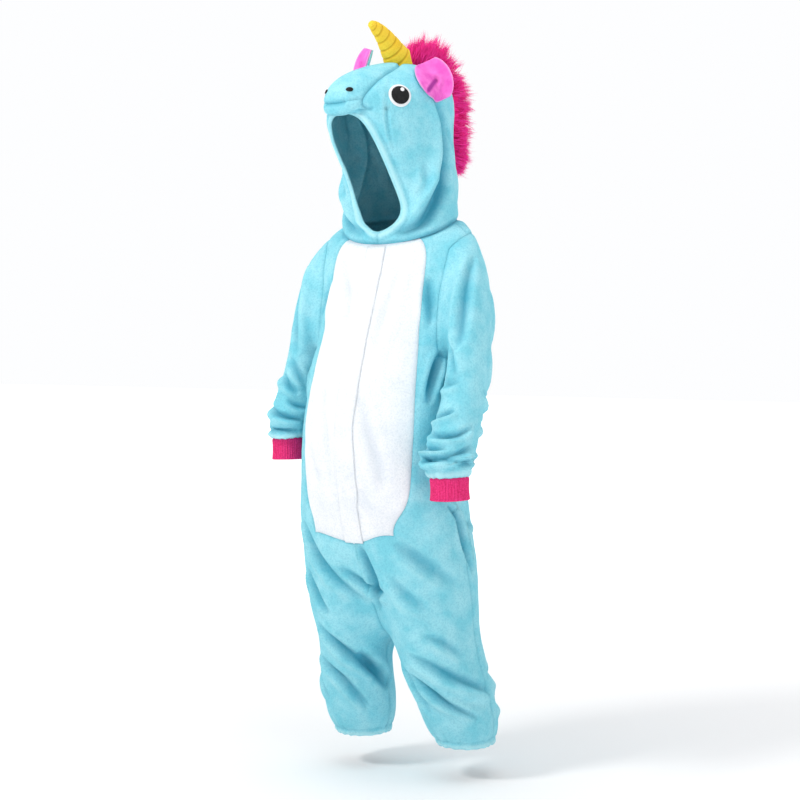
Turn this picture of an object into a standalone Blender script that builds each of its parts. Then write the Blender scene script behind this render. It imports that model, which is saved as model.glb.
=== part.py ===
"""Unicorn onesie: a hooded one-piece plush costume, hollow, in the pose in which it is worn.

Metres, +Z up. The wearer faces -Y and the wearer's left is +X. The origin is at the base of the
neck, where the garment hangs from the shoulders. Heights in the tables are above the trouser hems.
"""
import math
from collections import namedtuple

import bmesh
import bpy
from mathutils import Matrix, Vector
from mathutils.bvhtree import BVHTree

# ---------------------------------------------------------------- driving dimensions
HEM_LEVEL = -0.860          # height of the hems below the shoulders
CLOTH = 0.0022              # thickness of the plush
RIB = 0.0026                # thickness of the knitted cuffs
DISC_LIFT = 0.0007          # the lowest disc above the hood
FELT = 0.0010               # thickness of the eye and nostril discs
SEAM_GAP = 0.0003           # space between sewn pieces
COLUMNS = 16                # columns round the body and the hood
BACK = COLUMNS // 2         # the centre back column
SIDE = COLUMNS // 4         # the side seam column
SIDES = (("left", 1), ("right", -1))
UP = Vector((0.0, 0.0, 1.0))

PLACKET_HALF_WIDTH = 0.018
PLACKET_CLEARANCE = 0.0005  # keeps the strip clear of the belly's facets
PLACKET_COLUMNS = (-1.0, -0.5, 0.0, 0.5, 1.0)
PLACKET_TRIM = 0.0050       # it ends this far below the neck seam
POCKET_TOP = 0.400
POCKET_BOTTOM = 0.268
POCKET_STEPS = 5
POCKET_TURNS = (44, 56, 68, 80, 92)   # degrees round the body from its front
POCKET_DEPTH = 0.0009       # the bag hangs this far behind the wall
PROBE = 0.02                # how far outside a skin a place on it is looked for
DISC_RINGS = 2
DISC_SIDES = 16
EYE_TURN = 51.5             # degrees round the hood from its front
EYE_HEIGHT = 1.0940
EYE_RADIUS = 0.0195
PUPIL_RADIUS = 0.0155
GLINT_RADIUS = 0.0034
GLINT_ACROSS = 0.0032
GLINT_UP = 0.0080
NOSTRIL = (0.0250, -0.153, 1.100)   # from the head's axis, before the head is turned
NOSTRIL_AIM = (0.35, 0.75, -0.55)   # the way to it, from its own side
NOSTRIL_REACH = 0.1
NOSTRIL_HALF_LENGTH = 0.0062
NOSTRIL_HALF_HEIGHT = 0.0040

# ---------------------------------------------------------------- tables
# Torso rings from the crotch up. x, y: centre; width, front, back: half sizes; drop: how much lower
# the front is than the side; belly, arm and side: the turn from centre front, in degrees, of the
# belly seam, of the column at the front of the armhole and of the side seam.
Ring = namedtuple("Ring", "height x y width front back drop belly arm side")
TORSO = (
    Ring(0.226, -0.002, -0.024, 0.154, 0.097, 0.112, 0.000, 44, 68, 92),
    Ring(0.290, -0.005, -0.028, 0.161, 0.105, 0.118, 0.000, 40, 64, 88),
    Ring(0.350, -0.007, -0.034, 0.159, 0.112, 0.118, 0.000, 29, 57, 78),
    Ring(0.412, -0.008, -0.038, 0.154, 0.121, 0.114, 0.000, 41, 56, 74),
    Ring(0.472, -0.008, -0.042, 0.146, 0.129, 0.108, 0.000, 47, 62, 80),
    Ring(0.540, -0.008, -0.045, 0.139, 0.131, 0.102, 0.000, 52, 68, 88),
    Ring(0.608, -0.006, -0.044, 0.131, 0.125, 0.099, 0.000, 54, 69, 90),
    Ring(0.668, -0.003, -0.036, 0.124, 0.113, 0.097, 0.000, 54, 68, 90),
    Ring(0.760, 0.000, -0.022, 0.120, 0.096, 0.095, 0.008, 49, 62, 90),
    Ring(0.874, 0.000, -0.006, 0.138, 0.080, 0.080, 0.044, 43, 60, 90),
    Ring(0.890, 0.000, 0.000, 0.105, 0.079, 0.078, 0.040, 42, 66, 90),
)
CROTCH_ROW, BELLY_ROW, UNDERARM_ROW = 0, 2, 7
CHEST_ROW, SHOULDER_ROW, NECK_ROW = 8, 9, 10
CROTCH_HEIGHT = 0.200
CROTCH_Y = -0.022
BELLY_RISE = {1: 0.036, -1: 0.030}   # the lower edge of the belly rises to its corners: left, right
BELLY_CORNER = {1: 0.48, -1: 1.0}    # how far round its corners are, as shares of the table's turn
FORK = {0: 0.075, 1: 0.038, 2: 0.010}   # how far each of the lowest rings is drawn in at centre front
BACK_RISE = 0.3             # how far a ring rises behind, as a share of its drop in front
CROTCH_SAG = 0.018          # the crotch ring is this much lower at its front and back

# Leg rings from below the crotch to the hem. x: distance from the middle; y: centre; width, depth:
# half sizes; tip: how much lower the ring is at the inside of the leg.
LegRing = namedtuple("LegRing", "height x y width depth tip")
LEG = {
    "left": (
        LegRing(0.166, 0.086, -0.016, 0.069, 0.079, 0.012),
        LegRing(0.122, 0.096, -0.006, 0.069, 0.076, 0.004),
        LegRing(0.072, 0.107, 0.004, 0.069, 0.072, 0.000),
        LegRing(0.034, 0.115, 0.010, 0.066, 0.067, 0.000),
        LegRing(0.004, 0.121, 0.014, 0.046, 0.048, 0.000),
    ),
    "right": (
        LegRing(0.166, 0.081, -0.018, 0.059, 0.074, 0.012),
        LegRing(0.122, 0.084, -0.008, 0.062, 0.070, 0.004),
        LegRing(0.072, 0.085, 0.002, 0.063, 0.069, 0.000),
        LegRing(0.034, 0.085, 0.010, 0.061, 0.065, 0.000),
        LegRing(0.004, 0.085, 0.016, 0.044, 0.047, 0.000),
    ),
}

# Sleeve rings from the shoulder to the wrist: inner and outer edge (distance from the middle and
# height), the ring's centre from front to back, and its half depth.
ArmRing = namedtuple("ArmRing", "inner inner_height outer outer_height y depth")
ARM = {
    "left": (
        ArmRing(0.130, 0.652, 0.170, 0.830, -0.028, 0.060),
        ArmRing(0.131, 0.622, 0.193, 0.738, -0.052, 0.054),
        ArmRing(0.130, 0.584, 0.202, 0.655, -0.078, 0.050),
        ArmRing(0.129, 0.548, 0.208, 0.585, -0.102, 0.048),
        ArmRing(0.126, 0.515, 0.208, 0.524, -0.126, 0.050),
        ArmRing(0.124, 0.489, 0.206, 0.486, -0.140, 0.048),
        ArmRing(0.142, 0.475, 0.202, 0.475, -0.143, 0.034),
    ),
    "right": (
        ArmRing(0.128, 0.654, 0.168, 0.830, -0.026, 0.060),
        ArmRing(0.130, 0.630, 0.180, 0.744, -0.034, 0.052),
        ArmRing(0.136, 0.602, 0.192, 0.674, -0.040, 0.047),
        ArmRing(0.142, 0.578, 0.203, 0.620, -0.050, 0.045),
        ArmRing(0.148, 0.556, 0.214, 0.574, -0.062, 0.046),
        ArmRing(0.150, 0.535, 0.217, 0.538, -0.070, 0.043),
        ArmRing(0.158, 0.524, 0.208, 0.522, -0.074, 0.030),
    ),
}
CUFF_LENGTH = 0.038
CUFF_SQUEEZE = 0.96

# Hood rings with the face opening, from the neck up. turn: the head's turn to its right; left and
# right: the turn from the front, in degrees, of the edges of the opening.
FaceRing = namedtuple("FaceRing", "height y width front back drop turn left right")
FACE = (
    FaceRing(0.904, 0.000, 0.104, 0.081, 0.078, 0.045, 1, 0, 0),
    FaceRing(0.926, 0.003, 0.101, 0.086, 0.082, 0.036, 3, 34, 15),
    FaceRing(0.952, 0.006, 0.093, 0.090, 0.088, 0.014, 5, 28, 30),
    FaceRing(0.992, -0.006, 0.090, 0.106, 0.104, 0.000, 9, 29, 34),
    FaceRing(1.034, -0.019, 0.092, 0.115, 0.120, 0.000, 12, 28, 31),
    FaceRing(1.060, -0.026, 0.094, 0.120, 0.127, 0.000, 12, 21, 23),
)
COLLAR_ROWS = 1             # rows above the neck seam that are closed in front
# Rings through the muzzle. The nose columns give the middle of the muzzle, and the seam columns the
# line where it is sewn to the sides.
NoseRing = namedtuple("NoseRing", "height y width front back nose_y nose_height seam_x seam_y seam_height")
NOSE = (
    NoseRing(1.074, -0.027, 0.095, 0.118, 0.129, -0.146, 1.070, 0.037, -0.146, 1.071),
    NoseRing(1.085, -0.028, 0.095, 0.116, 0.130, -0.158, 1.056, 0.033, -0.152, 1.074),
    NoseRing(1.096, -0.028, 0.094, 0.113, 0.130, -0.168, 1.078, 0.033, -0.154, 1.085),
    NoseRing(1.107, -0.028, 0.091, 0.108, 0.128, -0.164, 1.107, 0.038, -0.134, 1.101),
    NoseRing(1.121, -0.026, 0.084, 0.096, 0.121, -0.132, 1.130, 0.041, -0.112, 1.118),
    NoseRing(1.137, -0.021, 0.070, 0.076, 0.105, -0.088, 1.147, 0.040, -0.080, 1.134),
    NoseRing(1.151, -0.012, 0.043, 0.045, 0.068, -0.044, 1.157, 0.030, -0.038, 1.148),
)
HOOD_FLATNESS = 0.15
LIP_ROWS = 2
SEAM_COLUMN = 2
CROWN = (0.0, -0.004, 1.160)
HEAD_TURN = 12.0

# Horn sections in the head's middle plane: distance behind the head's axis, height, radius.
HornRing = namedtuple("HornRing", "y height radius")
HORN = (
    HornRing(-0.004, 1.1640, 0.0265),
    HornRing(-0.018, 1.1775, 0.0215),
    HornRing(-0.032, 1.1920, 0.0175),
    HornRing(-0.047, 1.2050, 0.0138),
    HornRing(-0.063, 1.2150, 0.0103),
    HornRing(-0.073, 1.2195, 0.0070),
)
HORN_SIDES = 20
HORN_TIP_BACK = 0.0055      # the rounded tip, from the last section
HORN_TIP_UP = 0.0015
HORN_REACH = 0.1            # from the hood to a place well above it
HORN_CLEARANCE = 0.0008     # the horn's edge above the hood's facets
HORN_DISH = 0.0030          # the middle of its base above the hood

# Ear: its size, and how far its edges come forward.
EAR_LENGTH = 0.076
EAR_HALF_WIDTH = 0.030
EAR_CUP = 0.010
EAR_STEPS = 6
EAR_ACROSS = 6
EAR_FIRST = 0.03            # its outline's ends, as shares of its length
EAR_LAST = 0.97
EAR_WIDEST = 0.525          # where it is widest
EAR_SPAN = 0.529            # half the length of the oval that its outline is part of
EAR_FULLNESS = 0.85
# Where each ear is sewn on, before the head is turned: distance from the middle, y and height of its
# lower end; lean: degrees outwards; tilt: degrees back; facing: degrees that it faces out from the front.
EarPlace = namedtuple("EarPlace", "x y height lean tilt facing")
EAR = {
    "left": EarPlace(0.099, -0.003, 1.089, 24.0, 12.0, 48.0),
    "right": EarPlace(0.083, -0.008, 1.119, 13.0, 10.0, 30.0),
}
EAR_CLEARANCE = 0.0020      # the ear's back above the hood where it lies on it
EAR_BACK_THICKNESS = 0.0024
EAR_GAP = 0.0004             # between the ear's back and its face
EAR_THICKNESS = 0.0056       # of the back and the face together
EAR_STEEPEST = 0.35          # keeps an ear from being drawn out where it meets the hood edge on

# Mane sections along the middle of the hood. angle: degrees back from straight up, seen from the
# middle of the head; fall: how far below it; half_width and reach: size of the fur.
ManeRing = namedtuple("ManeRing", "angle fall half_width reach")
MANE = (
    ManeRing(21, 0.000, 0.022, 0.040),
    ManeRing(34, 0.000, 0.029, 0.056),
    ManeRing(50, 0.000, 0.032, 0.060),
    ManeRing(66, 0.000, 0.033, 0.061),
    ManeRing(82, 0.000, 0.033, 0.062),
    ManeRing(88, 0.015, 0.032, 0.061),
    ManeRing(88, 0.029, 0.031, 0.060),
    ManeRing(88, 0.043, 0.029, 0.057),
    ManeRing(88, 0.057, 0.024, 0.050),
)
MANE_CENTRE = (-0.010, 1.045)
MANE_LIFT = 0.0016
MANE_ARC = 6
MANE_FULLNESS = 0.7

Look = namedtuple("Look", "colour roughness")
LOOKS = {
    "plush_turquoise": Look((0.26, 0.68, 0.79), 0.95),
    "plush_white": Look((0.90, 0.92, 0.95), 0.95),
    "rib_magenta": Look((0.78, 0.03, 0.16), 0.85),
    "plush_pink": Look((0.87, 0.20, 0.68), 0.90),
    "plush_yellow": Look((0.90, 0.62, 0.05), 0.85),
    "fur_magenta": Look((0.80, 0.005, 0.20), 0.90),
    "felt_black": Look((0.012, 0.012, 0.012), 0.70),
    "felt_white": Look((0.90, 0.90, 0.90), 0.80),
}
NODE_LOOKS = {
    "front": "plush_turquoise",
    "back": "plush_turquoise",
    "belly": "plush_white",
    "placket": "plush_white",
    "sleeve": "plush_turquoise",
    "cuff": "rib_magenta",
    "pocket": "plush_turquoise",
    "hood": "plush_turquoise",
    "muzzle": "plush_turquoise",
    "ear_back": "plush_turquoise",
    "ear_face": "plush_pink",
    "horn": "plush_yellow",
    "mane": "fur_magenta",
    "eye_white": "felt_white",
    "eye_black": "felt_black",
    "eye_glint": "felt_white",
    "nostril": "felt_black",
}


# ---------------------------------------------------------------- general helpers
def clear_scene():
    """Remove whatever the file opened with."""
    for thing in list(bpy.data.objects):
        bpy.data.objects.remove(thing, do_unlink=True)


def level(height):
    """World height of a height above the hems."""
    return height + HEM_LEVEL


def on_oval(turn, x, y, width, front, back):
    """Point of a ring at a turn in degrees from its front, towards the wearer's left."""
    angle = math.radians(turn)
    depth = front if math.cos(angle) > 0 else back
    return x + width * math.sin(angle), y - depth * math.cos(angle)


def turned(point, degrees):
    """Turn a point about the head's upright axis; the head turns to its right."""
    return Matrix.Rotation(-math.radians(degrees), 3, "Z") @ Vector(point)


class Cage:
    """Coarse quads with named corners, each face marked with the piece that it belongs to.

    Corners run level, upright, level, upright; a whole face keeps its middle columns in the skin.
    """

    def __init__(self):
        self.points = []
        self.index = {}
        self.faces = []
        self.pieces = []
        self.names = []
        self.whole = []

    def add(self, key, point):
        self.index[key] = len(self.points)
        self.points.append(Vector(point))

    def face(self, keys, piece, whole=False):
        if piece not in self.names:
            self.names.append(piece)
        self.faces.append([self.index[key] for key in keys])
        self.pieces.append(self.names.index(piece))
        self.whole.append(whole or len(keys) == 3)


class Skin:
    """Triangles on the rounded form of a cage, with their shared normals."""

    def __init__(self, cage):
        mesh = bpy.data.meshes.new("cage")
        mesh.from_pydata([tuple(point) for point in cage.points], [], cage.faces)
        body = bpy.data.objects.new("cage", mesh)
        bpy.context.scene.collection.objects.link(body)
        modifier = body.modifiers.new("Subdivision", "SUBSURF")
        modifier.levels = 1
        modifier.render_levels = 1
        evaluated = body.evaluated_get(bpy.context.evaluated_depsgraph_get())
        fine = bpy.data.meshes.new_from_object(evaluated)
        self.points = [vertex.co.copy() for vertex in fine.vertices]
        self.normals = [vertex.normal.copy() for vertex in fine.vertices]
        quarters = [list(polygon.vertices) for polygon in fine.polygons]
        bpy.data.objects.remove(body, do_unlink=True)
        bpy.data.meshes.remove(mesh)
        bpy.data.meshes.remove(fine)
        self.faces = []
        self.pieces = []
        self.fill(cage, quarters)
        self.tree = BVHTree.FromPolygons(self.points, self.faces)

    def fill(self, cage, quarters):
        """Triangles of every cage face, which is made of as many quarters as it has corners."""
        patches = []
        start = 0
        for face in cage.faces:
            own = quarters[start:start + len(face)]
            start += len(face)
            following = {}
            for quarter in own:
                slot = next(slot for slot, number in enumerate(quarter) if number < len(cage.points))
                ordered = quarter[slot:] + quarter[:slot]
                following[ordered[0]] = ordered[1]
                centre = ordered[2]
            patches.append((face, [following[number] for number in face], centre))
        kept = set()
        for (face, middles, centre), whole in zip(patches, cage.whole):
            kept.update(middles if whole else middles[1::2])
        for (face, middles, centre), whole, piece in zip(patches, cage.whole, cage.pieces):
            triangles = []
            if whole:
                for slot, number in enumerate(face):
                    triangles.append([number, middles[slot], centre])
                    triangles.append([number, centre, middles[slot - 1]])
            else:
                triangles += self.half(face[0], face[1], middles[1], middles[3], middles[0], kept)
                triangles += self.half(face[2], face[3], middles[3], middles[1], middles[2], kept)
            self.faces += triangles
            self.pieces += [cage.names[piece]] * len(triangles)

    @staticmethod
    def half(first, second, beside, before, middle, kept):
        """Half of a cage face, with the middle of its level edge where a neighbour has it."""
        if middle not in kept:
            return [[first, second, beside], [first, beside, before]]
        return [[middle, second, beside], [middle, beside, before], [middle, before, first]]

    def patch(self, piece):
        return [face for face, name in zip(self.faces, self.pieces) if name == piece]


def border_of(faces):
    """Directed edges that belong to one face only."""
    edges = {}
    for face in faces:
        for a, b in zip(face, face[1:] + face[:1]):
            edges[(a, b)] = face
    return [edge for edge in edges if (edge[1], edge[0]) not in edges]


def seam_shift(skin, faces, border):
    """How far each border point moves into its own piece to leave half the seam gap."""
    centres = {}
    for face in faces:
        centre = sum((skin.points[number] for number in face), Vector()) / len(face)
        for number in face:
            centres.setdefault(number, []).append(centre)
    along = {}
    for a, b in border:
        step = skin.points[b] - skin.points[a]
        along.setdefault(a, []).append(step.normalized())
        along.setdefault(b, []).append(step.normalized())
    shift = {}
    for number, steps in along.items():
        inward = sum(centres[number], Vector()) / len(centres[number]) - skin.points[number]
        tangent = sum(steps, Vector())
        if len(steps) == 2 and tangent.length > 1.2:
            tangent.normalize()
            inward -= tangent * inward.dot(tangent)
        normal = skin.normals[number]
        inward -= normal * inward.dot(normal)
        shift[number] = inward.normalized() * SEAM_GAP * 0.6
    return shift


def share_normals(first, second):
    """Give two skins the same normals where they are sewn together, so that their walls match."""
    reach = SEAM_GAP / 10
    for number, point in enumerate(first.points):
        place, _, face, distance = second.tree.find_nearest(point, reach)
        if place is None:
            continue
        other = min(second.faces[face], key=lambda corner: (second.points[corner] - point).length)
        if (second.points[other] - point).length > reach:
            continue
        common = (first.normals[number] + second.normals[other]).normalized()
        first.normals[number] = common
        second.normals[other] = common


def wall(skin, faces, outside=0.0, thickness=CLOTH):
    """Closed wall on some of a skin's faces, from a distance outside the skin, inwards."""
    border = border_of(faces)
    shift = seam_shift(skin, faces, border)
    used = sorted({number for face in faces for number in face})
    place = {number: slot for slot, number in enumerate(used)}
    outer = []
    inner = []
    for number in used:
        point = skin.points[number] + shift.get(number, Vector())
        normal = skin.normals[number]
        outer.append(point + normal * outside)
        inner.append(point + normal * (outside - thickness))
    count = len(used)
    solid = [[place[number] for number in face] for face in faces]
    solid += [[place[number] + count for number in reversed(face)] for face in faces]
    for a, b in border:
        a_out, b_out = place[a], place[b]
        a_in, b_in = a_out + count, b_out + count
        if a < b:
            solid += [[b_out, a_out, a_in], [b_out, a_in, b_in]]
        else:
            solid += [[b_out, a_out, b_in], [a_out, a_in, b_in]]
    return outer + inner, solid


def material_for(node):
    """Material of a node, from the start of its name."""
    kind = max((key for key in NODE_LOOKS if node.startswith(key)), key=len)
    look = LOOKS[NODE_LOOKS[kind]]
    material = bpy.data.materials.new(node)
    material.use_nodes = True
    shader = material.node_tree.nodes["Principled BSDF"]
    shader.inputs["Base Color"].default_value = (*look.colour, 1.0)
    shader.inputs["Roughness"].default_value = look.roughness
    shader.inputs["Metallic"].default_value = 0.0
    material.diffuse_color = (*look.colour, 1.0)
    return material


def make_node(name, points, faces, collection):
    """One named solid from points and faces."""
    mesh = bpy.data.meshes.new(name)
    mesh.from_pydata([tuple(point) for point in points], [], faces)
    mesh.materials.append(material_for(name))
    mesh.shade_smooth()
    mesh.set_sharp_from_angle(angle=math.radians(60))
    node = bpy.data.objects.new(name, mesh)
    collection.objects.link(node)
    return node


# ---------------------------------------------------------------- body, legs and sleeves
def column_turns(ring):
    """Turn of every column of a torso ring, from centre front round the wearer's left."""
    half = [0.0, ring.belly / 2, ring.belly, ring.arm, ring.side, 180.0 - ring.arm, 135.0, 157.5, 180.0]
    return half + [-turn for turn in reversed(half[1:-1])]


def dropped(ring, facing):
    """How much lower than its side a ring is, where it faces front (1) or back (-1)."""
    return ring.drop * facing if facing > 0 else ring.drop * facing * BACK_RISE


def torso_point(row, column):
    """Corner of the torso's cage."""
    ring = TORSO[row]
    turn = column_turns(ring)[column]
    sign = 1 if turn >= 0 else -1
    on_belly_edge = row == BELLY_ROW and abs(turn) <= ring.belly
    rise = BELLY_RISE[sign] * abs(turn) / ring.belly if on_belly_edge else 0.0
    if on_belly_edge:
        turn *= BELLY_CORNER[sign]
    x, y = on_oval(turn, ring.x, ring.y, ring.width, ring.front, ring.back)
    if column == 0:
        y += FORK.get(row, 0.0)
    facing = math.cos(math.radians(turn))
    height = ring.height - dropped(ring, facing) + rise
    if row == CROTCH_ROW:
        height -= CROTCH_SAG * abs(facing)
    return x, y, level(height)


def mirrored(column, sign):
    """The same column on the wearer's left (sign 1) or right (sign -1)."""
    return column if sign > 0 else (COLUMNS - column) % COLUMNS


def add_face(cage, keys, piece, sign, whole=False):
    """Add a face listed as for the wearer's left; the right side runs the other way round."""
    cage.face(keys if sign > 0 else list(reversed(keys)), piece, whole)


def add_torso(cage):
    rows = range(len(TORSO))
    for row in rows:
        for column in range(COLUMNS):
            if row == CHEST_ROW and column in (SIDE, COLUMNS - SIDE):
                continue
            cage.add(("torso", row, column), torso_point(row, column))
    for side, sign in SIDES:
        for row in rows[:-1]:
            for column in range(BACK):
                in_armhole = UNDERARM_ROW <= row < SHOULDER_ROW and column in (SIDE - 1, SIDE)
                if in_armhole:
                    continue
                if row >= BELLY_ROW and column < SEAM_COLUMN:
                    piece = "belly"
                elif column < SIDE:
                    piece = "front"
                else:
                    piece = "back"
                first = mirrored(column, sign)
                second = mirrored(column + 1, sign)
                corners = [
                    ("torso", row, first),
                    ("torso", row, second),
                    ("torso", row + 1, second),
                    ("torso", row + 1, first),
                ]
                add_face(cage, corners, piece + "_" + side, sign)


def add_legs(cage):
    cage.add("crotch", (0.0, CROTCH_Y, level(CROTCH_HEIGHT)))
    count = BACK + 2
    for side, sign in SIDES:
        upper = [("torso", CROTCH_ROW, mirrored(column, sign)) for column in range(BACK + 1)]
        upper.append("crotch")
        for row, ring in enumerate(LEG[side]):
            lower = []
            for number in range(count):
                turn = -54.0 + 360.0 / count * number
                x, y = on_oval(turn, ring.x, ring.y, ring.width, ring.depth, ring.depth)
                height = ring.height + ring.tip * math.sin(math.radians(turn))
                key = ("leg", side, row, number)
                cage.add(key, (sign * x, y, level(height)))
                lower.append(key)
            for number in range(count):
                follow = (number + 1) % count
                piece = "front" if number < SIDE or number == count - 1 else "back"
                corners = [lower[number], lower[follow], upper[follow], upper[number]]
                add_face(cage, corners, piece + "_" + side, sign)
            upper = lower


def armhole(sign):
    """Corners of the armhole, from the underarm round the back, over the top and down the front."""
    places = (
        (UNDERARM_ROW, SIDE),
        (UNDERARM_ROW, SIDE + 1),
        (CHEST_ROW, SIDE + 1),
        (SHOULDER_ROW, SIDE + 1),
        (SHOULDER_ROW, SIDE),
        (SHOULDER_ROW, SIDE - 1),
        (CHEST_ROW, SIDE - 1),
        (UNDERARM_ROW, SIDE - 1),
    )
    return [("torso", row, mirrored(column, sign)) for row, column in places]


def arm_ring_point(ring, sign, angle):
    """Point of a sleeve ring: angle 0 is the inside of the arm and a quarter turn its back."""
    middle = Vector(((ring.inner + ring.outer) / 2, ring.y, (ring.inner_height + ring.outer_height) / 2))
    inwards = Vector((ring.inner, ring.y, ring.inner_height)) - middle
    backwards = Vector((0.0, ring.depth, 0.0))
    point = middle + inwards * math.cos(angle) + backwards * math.sin(angle)
    return sign * point.x, point.y, level(point.z)


def add_sleeves(cage):
    for side, sign in SIDES:
        upper = armhole(sign)
        count = len(upper)
        for row, ring in enumerate(ARM[side]):
            lower = []
            for number in range(count):
                key = ("arm", side, row, number)
                cage.add(key, arm_ring_point(ring, sign, math.tau * number / count))
                lower.append(key)
            for number in range(count):
                follow = (number + 1) % count
                corners = [upper[number], upper[follow], lower[follow], lower[number]]
                add_face(cage, corners, "sleeve_" + side, sign)
            upper = lower


def body_cage():
    cage = Cage()
    add_torso(cage)
    add_legs(cage)
    add_sleeves(cage)
    return cage


# ---------------------------------------------------------------- hood
def on_hood(turn, ring):
    """Point of a hood ring, which is flatter towards the seam at the centre back."""
    x, y = on_oval(turn, 0.0, ring.y, ring.width, ring.front, ring.back)
    if abs(turn) > 90:
        x *= abs(math.sin(math.radians(turn))) ** HOOD_FLATNESS
    return x, y


def face_point(ring, column, sign):
    """Corner of the hood beside the face opening; column 0 is the edge of the opening."""
    if column <= SIDE:
        edge = ring.left if sign > 0 else ring.right
        turn = edge + (90.0 - edge) * column / SIDE
    else:
        turn = 90.0 * column / SIDE
    x, y = on_hood(sign * turn, ring)
    height = ring.height - dropped(ring, math.cos(math.radians(turn)))
    return turned((x, y, level(height)), ring.turn)


def nose_point(ring, column, sign):
    """Corner of the hood above the opening: the muzzle in front, the oval head round the rest."""
    if column <= SEAM_COLUMN:
        share = column / SEAM_COLUMN
        x = ring.seam_x * math.sin(math.radians(90 * share)) ** 0.8
        bend = 1 - math.cos(math.radians(90 * share))
        y = ring.nose_y + (ring.seam_y - ring.nose_y) * bend
        height = ring.nose_height + (ring.seam_height - ring.nose_height) * bend
        return turned((sign * x, y, level(height)), HEAD_TURN)
    turn = 90.0 * column / SIDE
    x, y = on_hood(sign * turn, ring)
    return turned((x, y, level(ring.height)), HEAD_TURN)


def hood_key(row, column, sign):
    """Centre front is split in two beside the opening and is one column above it."""
    split = COLLAR_ROWS < row <= len(FACE) and column == 0
    return ("hood", row, mirrored(column, sign), sign if split else 0)


def hood_cage():
    cage = Cage()
    top = len(FACE) + len(NOSE)
    for side, sign in SIDES:
        for row in range(top + 1):
            for column in range(BACK + 1):
                key = hood_key(row, column, sign)
                if key in cage.index:
                    continue
                if row == 0:
                    point = torso_point(NECK_ROW, mirrored(column, sign))
                elif row <= len(FACE):
                    point = face_point(FACE[row - 1], column, sign)
                else:
                    point = nose_point(NOSE[row - 1 - len(FACE)], column, sign)
                cage.add(key, point)
    cage.add("crown", turned((CROWN[0], CROWN[1], level(CROWN[2])), HEAD_TURN))
    first_lip = len(FACE) + 1
    for side, sign in SIDES:
        for row in range(top):
            for column in range(BACK):
                corners = [
                    hood_key(row, column, sign),
                    hood_key(row, column + 1, sign),
                    hood_key(row + 1, column + 1, sign),
                    hood_key(row + 1, column, sign),
                ]
                piece = "hood_" + side
                if row >= first_lip and column < SEAM_COLUMN:
                    piece = "muzzle_lip" if row < first_lip + LIP_ROWS else "muzzle_top"
                add_face(cage, corners, piece, sign, row >= first_lip and column < SIDE)
        for column in range(BACK):
            corners = [hood_key(top, column, sign), hood_key(top, column + 1, sign), "crown"]
            piece = "muzzle_top" if column < SEAM_COLUMN else "hood_" + side
            add_face(cage, corners, piece, sign)
    return cage


# ---------------------------------------------------------------- cuffs, placket, pockets
def lower_end(skin, faces):
    """The closed ring of border points of a tube's lower end, in order."""
    border = border_of(faces)
    follow = {a: b for a, b in border}
    rings = []
    while follow:
        start = next(iter(follow))
        ring = [start]
        number = follow.pop(start)
        while number != start:
            ring.append(number)
            number = follow.pop(number)
        rings.append(ring)

    def mean_height(ring):
        return sum(skin.points[number].z for number in ring) / len(ring)

    return min(rings, key=mean_height)


def cuff(skin, side):
    """Tube of rib knit below the gathered end of a sleeve."""
    ring = lower_end(skin, skin.patch("sleeve_" + side))
    points = [skin.points[number] for number in ring]
    centre = sum(points, Vector()) / len(points)
    outward = (points[0] - centre).cross(points[1] - centre)
    down = outward.normalized()
    if down.z > 0:
        down = -down
    steps = (
        (SEAM_GAP * 1.2, 0.0, 1.0),
        (CUFF_LENGTH * 0.5, 0.0, CUFF_SQUEEZE),
        (CUFF_LENGTH, 0.0, 1.0),
        (CUFF_LENGTH, RIB, 1.0),
        (CUFF_LENGTH * 0.5, RIB, CUFF_SQUEEZE),
        (SEAM_GAP * 1.2, RIB, 1.0),
    )
    solid_points = []
    for fall, inset, size in steps:
        for point in points:
            spoke = point - centre
            reach = spoke.length * size - inset
            solid_points.append(centre + spoke.normalized() * reach + down * fall)
    count = len(points)
    faces = []
    for step in range(len(steps)):
        following = (step + 1) % len(steps)
        for number in range(count):
            beside = (number + 1) % count
            faces.append([
                step * count + number,
                step * count + beside,
                following * count + beside,
                following * count + number,
            ])
    return solid_points, faces


def outward_faces(points, faces):
    """Turn the faces of a closed solid to point out."""
    work = bmesh.new()
    corners = [work.verts.new(point) for point in points]
    for face in faces:
        work.faces.new([corners[number] for number in face])
    bmesh.ops.recalc_face_normals(work, faces=work.faces[:])
    if work.calc_volume(signed=True) < 0:
        bmesh.ops.reverse_faces(work, faces=work.faces[:])
    work.verts.index_update()
    result = [[corner.index for corner in face.verts] for face in work.faces]
    work.free()
    return result


def grid_solid(front, back):
    """Closed solid between two grids of points of the same size, cut along the same diagonals."""
    rows = len(front)
    across = len(front[0])
    points = [point for row in front for point in row] + [point for row in back for point in row]
    count = rows * across
    faces = []
    for row in range(rows - 1):
        for column in range(across - 1):
            a = row * across + column
            opposite = a + across + 1
            for face in ([a, a + 1, opposite], [a, opposite, a + across]):
                faces.append(face)
                faces.append([number + count for number in reversed(face)])
    rim = [column for column in range(across)]
    rim += [row * across + across - 1 for row in range(1, rows)]
    rim += [(rows - 1) * across + column for column in range(across - 2, -1, -1)]
    rim += [row * across for row in range(rows - 2, 0, -1)]
    for a, b in zip(rim, rim[1:] + rim[:1]):
        faces.append([a, b, b + count, a + count])
    return points, outward_faces(points, faces)


def on_skin(skin, origin, direction):
    """Point and smooth normal where a line from outside meets a skin."""
    place, normal, number, _ = skin.tree.ray_cast(origin, direction)
    weights = [1.0 / max((skin.points[corner] - place).length, 1e-6) for corner in skin.faces[number]]
    smooth = Vector()
    for corner, weight in zip(skin.faces[number], weights):
        smooth += skin.normals[corner] * weight
    return place, smooth.normalized()


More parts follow.
